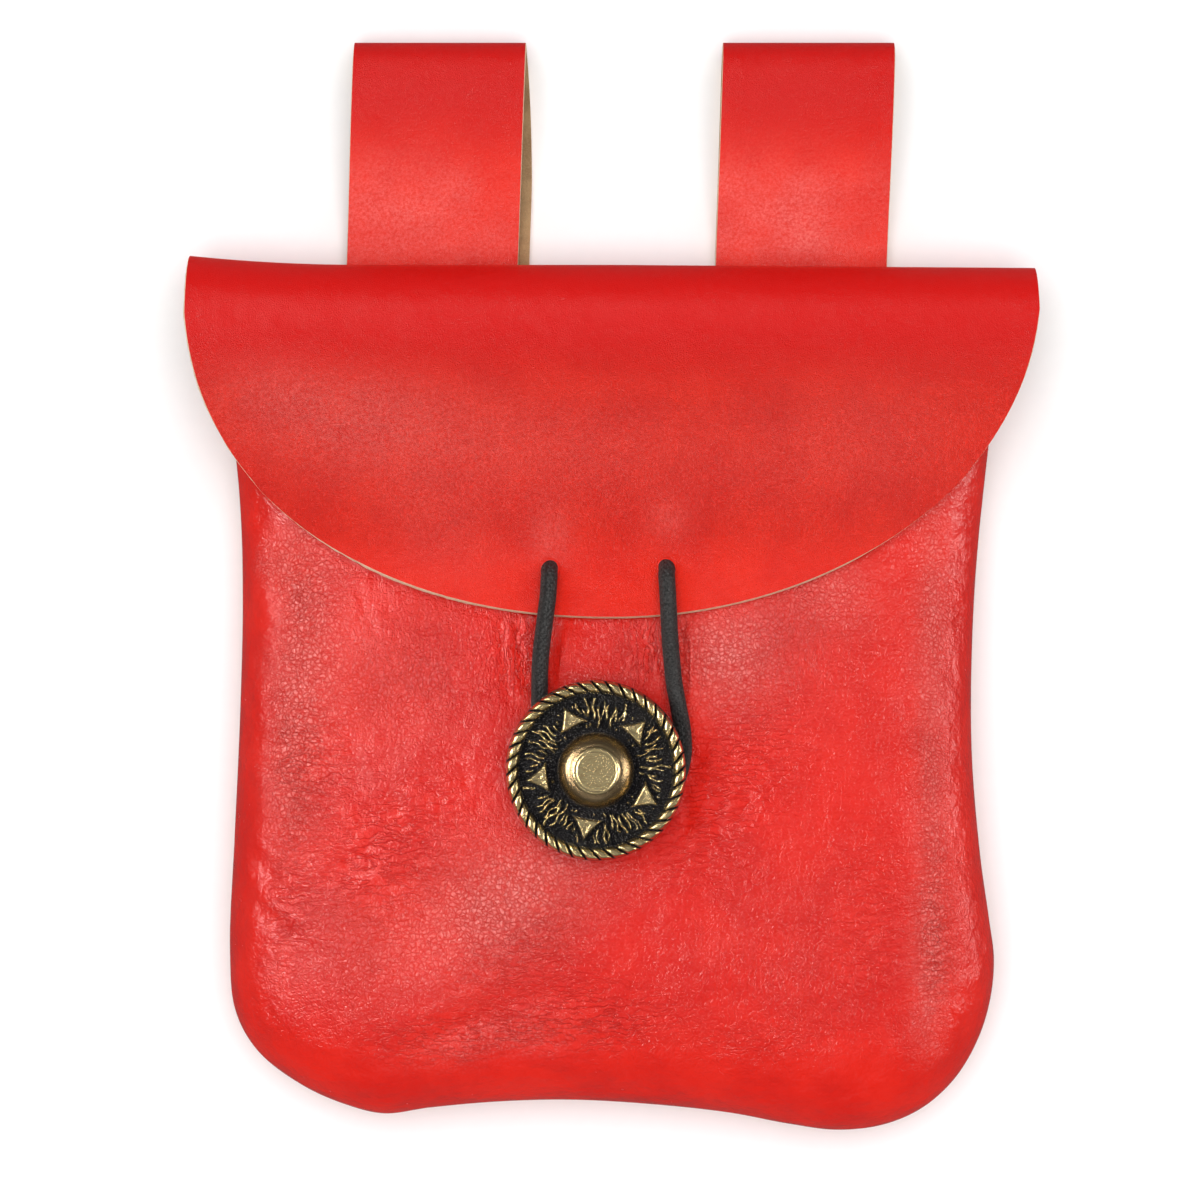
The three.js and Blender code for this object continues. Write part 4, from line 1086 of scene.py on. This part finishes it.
def build_loop(name, across, lean, skew, bow, seed):
    back_z = STRAP_WALL / 2
    front_z = back_z + STRAP_WALL + PIECE_GAP
    crest_z = LOOP_SPREAD - STRAP_WALL / 2
    reach = LOOP_RISE - STRAP_WALL / 2
    centre = across * BODY_WIDTH / 2
    route = [(centre, -STRAP_SEWN_LENGTH, front_z), (centre, -STRAP_SEWN_LENGTH / 2, front_z)]
    for along, up, front in LOOP_PROFILE:
        back_shift = mix(skew, lean, along) + 4 * bow * along * (1 - along)
        shift = mix(back_shift, lean * max(along, 0), front)
        z = mix(mix(back_z, front_z, front), crest_z, up)
        route.append((centre + STRAP_WIDTH * shift, along * reach, z))
    back_x = centre + STRAP_WIDTH * skew
    for y in (0, -STRAP_SEWN_LENGTH / 2, -STRAP_SEWN_LENGTH):
        route.append((back_x, y, back_z))
    line = spaced(spline(route, 40), np.linspace(0, 1, LOOP_STEPS + 1))
    line[:, 2] = np.maximum(line[:, 2], back_z)
    across_share = np.linspace(-0.5, 0.5, LOOP_ACROSS + 1)
    rows = np.repeat(line[:, None, :], LOOP_ACROSS + 1, axis=1)
    rows[..., 0] += across_share[None, :] * STRAP_WIDTH
    points = rows.reshape(-1, 3)
    quads = grid_quads(len(rows), LOOP_ACROSS + 1)[:, ::-1]
    half = STRAP_WALL / 2
    solid, faces, kinds = leather_wall(points, quads, half, -half, STRAP_EDGE_BULGE)
    sx, sy = solid[:, 0], solid[:, 1]
    lower = smooth((30 - sy) / 24) * mix(0.35, 1.0, smooth((sy - 0.5) / 4))
    patchy = 0.36 + 0.4 * soft_noise(sx / 7, sy / 5, seed)
    values = {
        "grain": np.full(len(solid), 0.35),
        # Painted highlight: a patchy sheen painted on the loop's lower part, weaker on its right
        "painted_sheen": lower * patchy * mix(1.0, 0.55, smooth((sx - centre) / 14)),
        # Painted shade: the loop's upper part painted darker
        "deep": smooth((sy - 14) / 18),
    }
    loop = make_object(f"{name}_strap", solid, faces, FIRM_SIDES, kinds, values, SHARP_ANGLE)
    stands_for(loop, name)


# Stitches that hold each strap's two sewn leaves, in rows across the strap's lower face
STITCH_ROWS = (-4.0, -24.5)
STITCH_STEP = 3.1
STITCH_LENGTH = 2.3
STITCH_RADIUS = 0.3
STITCH_HEIGHT = 0.12
STITCH_FLATNESS = 0.7
STITCHES_EACH_WAY = 4


def build_stitches():
    points = []
    faces = []
    lengths = np.linspace(-1, 1, 9)
    turn = np.linspace(0, 2 * math.pi, 8, endpoint=False)
    for loop in LOOPS.values():
        back_x = loop["across"] * BODY_WIDTH / 2 + STRAP_WIDTH * loop["skew"]
        for row_y in STITCH_ROWS:
            for k in range(-STITCHES_EACH_WAY, STITCHES_EACH_WAY + 1):
                first = len(points) * len(lengths) * len(turn)
                reach = STITCH_RADIUS * np.sqrt(np.maximum(1 - lengths**4, 0.02))
                x = back_x + k * STITCH_STEP + lengths * STITCH_LENGTH / 2
                ring = np.stack(
                    [
                        np.repeat(x[:, None], len(turn), axis=1),
                        row_y + reach[:, None] * np.cos(turn),
                        STITCH_HEIGHT + reach[:, None] * np.sin(turn) * STITCH_FLATNESS,
                    ],
                    axis=-1,
                )
                points.append(ring.reshape(-1, 3))
                faces.extend(closed_rings(len(lengths), len(turn), first))
    stitches = make_object("strap_stitches", np.concatenate(points), faces, [THREAD])
    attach(stitches, "root")


def closed_rings(rings, sides, first):
    faces = ring_walls(rings, sides, first)
    faces.append([first + i for i in range(sides)][::-1])
    faces.append([first + (rings - 1) * sides + i for i in range(sides)])
    return faces


# Concho button. Profile of its top: (radius, height) in millimetres
CONCHO_PROFILE = [
    (0.0, 5.16), (2.6, 5.18), (3.36, 5.2), (3.46, 5.04), (3.58, 5.04), (3.7, 5.2), (4.0, 5.2), (4.14, 5.04),
    (4.24, 4.86), (4.8, 4.76), (5.4, 4.42), (5.95, 3.8), (6.35, 3.1), (6.62, 2.3), (6.78, 1.6), (6.95, 1.25),
    (7.3, 1.2), (7.7, 1.4), (10.0, 1.5), (13.0, 1.4), (13.6, 1.2), (14.0, 1.1), (16.0, 1.0),
]
CAP_EDGE = 4.2
DOME_EDGE = 6.9
ROPE_SHOULDER = 15.4
RIM_HEIGHT = 0.95
CONCHO_SECTORS = 900
CONCHO_RINGS = 88
STAR_ANGLES = (45, 117, 188, 260, 331)
STAR_APEX = 12.9
STAR_CORNER = 8.9
STAR_SPREAD = 20.5
STAR_HEIGHT = 2.72
FIELD_RIDGES = 78
ROPE_INNER = 13.75
ROPE_SLANT = 3.5
ROPE_HEIGHT = 0.6
STRAND_HEIGHT = 1.2


def star_inset(x, y):
    """Distance inside the nearest raised triangle's edge, negative outside."""
    best = np.full(np.shape(x), -9.0)
    for angle in STAR_ANGLES:
        corners = []
        for turn, radius in ((0, STAR_APEX), (STAR_SPREAD, STAR_CORNER), (-STAR_SPREAD, STAR_CORNER)):
            a = math.radians(angle + turn)
            corners.append((radius * math.cos(a), radius * math.sin(a)))
        inset = np.full(np.shape(x), 9.0)
        for k in range(3):
            (x0, y0), (x1, y1) = corners[k], corners[(k + 1) % 3]
            length = math.hypot(x1 - x0, y1 - y0)
            along = ((x - x0) * (x1 - x0) + (y - y0) * (y1 - y0)) / length**2
            beside = ((x1 - x0) * (y - y0) - (y1 - y0) * (x - x0)) / length
            hollow = 0.22 * np.clip(4 * along * (1 - along), 0, 1)
            inset = np.minimum(inset, beside - hollow)
        best = np.maximum(best, inset)
    return best


def field_ridges(radius, angle):
    """Uneven ridges that radiate over the blackened field, in millimetres."""
    rng = np.random.default_rng(5)
    total = np.zeros(np.shape(radius))
    for k in range(FIELD_RIDGES):
        centre = 2 * math.pi * (k + rng.uniform(-0.28, 0.28)) / FIELD_RIDGES
        start = rng.uniform(7.2, 8.9)
        end = rng.uniform(11.3, 13.9)
        width = rng.uniform(0.17, 0.31)
        height = rng.uniform(0.45, 1.0)
        wave = 0.018 * np.sin(radius * rng.uniform(1.2, 2.6) + rng.uniform(0, 6))
        off = (angle - centre - wave + math.pi) % (2 * math.pi) - math.pi
        window = smooth((radius - start) / 0.8) * smooth((end - radius) / 0.9)
        total = np.maximum(total, height * window * np.exp(-((off * radius / width) ** 2)))
    return total


def concho_top(radius, angle):
    """Height and polish of the concho's face."""
    table = np.array(CONCHO_PROFILE)
    height = np.interp(radius, table[:, 0], table[:, 1])
    x, y = radius * np.cos(angle), radius * np.sin(angle)
    field = smooth((radius - DOME_EDGE) / 0.5) * smooth((ROPE_INNER - radius) / 0.4)
    inset = star_inset(x, y)
    near_star = 1 - smooth((inset + 0.75) / 0.55)
    ridges = field_ridges(radius, angle) * field * near_star
    grit = (soft_noise(x * 2.6, y * 2.6, 41) - 0.5) * 0.4 + (soft_noise(x * 5.5, y * 5.5, 42) - 0.5) * 0.34
    height = height + ridges + grit * field * near_star
    star = smooth(inset / 0.42)
    worn = (soft_noise(x * 2.2, y * 2.2, 43) - 0.5) * 0.1
    height = mix(height, STAR_HEIGHT - 0.1 * smooth((inset - 0.5) / 0.8) + worn, star)
    rope = np.clip((radius - ROPE_INNER) / (CONCHO_RADIUS - ROPE_INNER), 0, 1)
    phase = (np.degrees(angle) - ROPE_SLANT * (radius - 15)) * ROPE_STRANDS / 360
    strand = np.abs((phase % 1) - 0.5) * 2
    rounded = np.sqrt(np.clip(1 - np.abs(2 * rope - 1) ** 3.4, 0, 1))
    body = np.sqrt(np.clip(1 - (strand / 0.93) ** 4, 0, 1))
    rope_height = 1.05 + rounded * (ROPE_HEIGHT + STRAND_HEIGHT * body)
    height = np.where(rope > 0, np.maximum(rope_height, 1.0), height)
    cap = radius < CAP_EDGE
    dome = (radius < DOME_EDGE) & ~cap
    polish = np.where(cap, 0.86, 0.0)
    polish = np.where(dome, mix(0.85, 0.3, smooth((radius - 6.3) / 0.5)), polish)
    wear_and_sheen = 0.6 + 0.4 * smooth((soft_noise(x * 1.6, y * 1.6, 44) - 0.3) / 0.3)
    streak = smooth((ridges - 0.2) / 0.3) * wear_and_sheen
    polish = np.where(field > 0, 0.9 * streak, polish)
    polish = np.maximum(polish, 0.78 * smooth(inset / 0.3))
    crest = (1 - smooth((strand - 0.72) / 0.12)) * smooth((rounded - 0.05) / 0.2)
    polish = np.where(rope > 0, crest, polish)
    bronze = np.where(dome, 0.75, np.where(cap, 0.12, 0.15))
    return height, polish, bronze


# Profile of its back, from the rim in to the top of the stem's bore
BORE_TOP = 0.5
CONCHO_BACK = [
    (15.96, 0.75), (15.86, 0.25), (15.7, 0.03), (12.0, 0.0), (STEM_RADIUS + 0.5, 0.0), (STEM_RADIUS, -0.4),
    (STEM_RADIUS, -STEM_HEIGHT + 0.2), (STEM_RADIUS - 0.2, -STEM_HEIGHT), (STEM_BORE + 0.1, -STEM_HEIGHT),
    (STEM_BORE, -STEM_HEIGHT + 0.2), (STEM_BORE, BORE_TOP),
]


def build_concho():
    turn = np.linspace(0, 2 * math.pi, CONCHO_SECTORS, endpoint=False)
    radii = np.linspace(0.3, CONCHO_RADIUS, CONCHO_RINGS)
    radius, angle = np.meshgrid(radii, turn, indexing="ij")
    height, polish, bronze = concho_top(radius, angle)
    last = np.sqrt(np.clip(1 - ((radius - ROPE_SHOULDER) / 0.62).clip(0, 1) ** 2, 0, 1))
    shoulder = np.maximum(mix(RIM_HEIGHT, height, last), RIM_HEIGHT)
    height = np.where(radius > ROPE_SHOULDER, shoulder, height)
    rings = [np.stack([radius * np.cos(angle), radius * np.sin(angle), height], axis=-1)]
    for back_radius, back_height in CONCHO_BACK:
        ring = [back_radius * np.cos(turn), back_radius * np.sin(turn), np.full_like(turn, back_height)]
        rings.append(np.stack(ring, axis=-1)[None])
    grid = np.concatenate(rings)
    count = len(grid)
    points = grid.reshape(-1, 3)
    top = len(points)
    points = np.concatenate([points, [[0, 0, CONCHO_PROFILE[0][1]], [0, 0, BORE_TOP]]])
    here = np.arange(CONCHO_SECTORS)
    beside = (here + 1) % CONCHO_SECTORS
    faces = []
    for k in range(count - 1):
        a, b = k * CONCHO_SECTORS, (k + 1) * CONCHO_SECTORS
        faces.extend(np.stack([a + here, b + here, b + beside, a + beside], axis=1).tolist())
    faces.extend(np.stack([np.full_like(here, top), here, beside], axis=1).tolist())
    final = (count - 1) * CONCHO_SECTORS
    faces.extend(np.stack([np.full_like(here, top + 1), final + beside, final + here], axis=1).tolist())
    extra = len(points) - polish.size
    values = {
        "polish": np.concatenate([polish.ravel(), np.full(extra, 0.5)]),
        "bronze": np.concatenate([bronze.ravel(), np.full(extra, 0.3)]),
    }
    points = points + np.array([CONCHO_X, CONCHO_Y, CONCHO_Z])
    concho = make_object("concho_cast_brass", points, faces, [BRASS], None, values)
    stands_for(concho, "concho_button")


def finish_screw():
    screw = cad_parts["button_screw"]
    screw.data.materials.clear()
    screw.data.materials.append(STEEL)


# Stage
FLOOR_REACH = 4.0


def build_floor():
    mesh = bpy.data.meshes.new("floor")
    corners = [(x * FLOOR_REACH, y * FLOOR_REACH, 0) for x, y in ((-1, -1), (1, -1), (1, 1), (-1, 1))]
    mesh.from_pydata(corners, [], [(0, 1, 2, 3)])
    mesh.materials.append(floor_cover("pale_floor"))
    floor = placed("floor", mesh)
    floor.visible_glossy = False


# Soft lights: place in metres, width and height in metres, power in watts, and what each gives: soft light
# on the surfaces (shade), a reflection in them (gloss), or both
LIGHTS = {
    "ceiling": ((0.0, 0.1, 1.7), (1.6, 1.6), 22.0, "shade"),
    "overhead": ((0.0, 0.0, 1.6), (1.5, 1.5), 1.3, "both"),
    "left_softbox": ((-0.9, 0.12, 0.85), (0.36, 0.6), 23.0, "gloss"),
    "right_strip": ((1.0, 0.0, 0.33), (0.15, 0.8), 8.0, "gloss"),
    "front_fill": ((-0.15, -0.85, 0.95), (0.9, 0.6), 1.2, "both"),
}
WORLD_SHADE = 0.6
WORLD_GLOSS = 0.14
LAMP_COLOUR = (1.0, 0.965, 0.92)


def build_lights():
    world = bpy.data.worlds.new("studio")
    world.use_nodes = True
    world.node_tree.nodes["Background"].inputs["Color"].default_value = (1, 1, 1, 1)
    tree = world.node_tree
    path = tree.nodes.new("ShaderNodeLightPath")
    strength = tree.nodes.new("ShaderNodeMapRange")
    strength.inputs["To Min"].default_value = WORLD_SHADE
    strength.inputs["To Max"].default_value = WORLD_GLOSS
    tree.links.new(path.outputs["Is Glossy Ray"], strength.inputs["Value"])
    tree.links.new(strength.outputs["Result"], tree.nodes["Background"].inputs["Strength"])
    bpy.context.scene.world = world
    for name, (place, size, power, gives) in LIGHTS.items():
        light = bpy.data.lights.new(name, "AREA")
        light.shape = "RECTANGLE"
        light.size, light.size_y = size
        light.energy = power
        light.color = LAMP_COLOUR if gives == "gloss" else (1, 1, 1)
        lamp = placed(name, light)
        lamp.location = place
        lamp.rotation_euler = (-Vector(place)).to_track_quat("-Z", "Y").to_euler()
        lamp.visible_camera = False
        lamp.visible_glossy = gives != "shade"
        lamp.visible_diffuse = gives != "gloss"


# Camera: straight above the pouch, as in the photograph
CAMERA_X = -0.00216
CAMERA_Y = -0.0026
CAMERA_DISTANCE = 1.2
FOCUS_HEIGHT = 0.015
VIEW_WIDTH = 0.216
SENSOR_WIDTH = 36.0


def build_camera():
    scene = bpy.context.scene
    camera = placed("camera", bpy.data.cameras.new("camera"))
    camera.data.sensor_width = SENSOR_WIDTH
    camera.data.lens = SENSOR_WIDTH * CAMERA_DISTANCE / VIEW_WIDTH
    camera.location = (CAMERA_X, CAMERA_Y, FOCUS_HEIGHT + CAMERA_DISTANCE)
    camera.data.clip_start = 0.05
    camera.data.clip_end = 20
    scene.camera = camera
    scene.view_settings.view_transform = "Standard"


build_camera()
build_pocket()
build_panel_and_flap()
for loop_name, loop in LOOPS.items():
    build_loop(loop_name, **loop)
build_stitches()
build_elastic()
build_concho()
finish_screw()
build_floor()
build_lights()
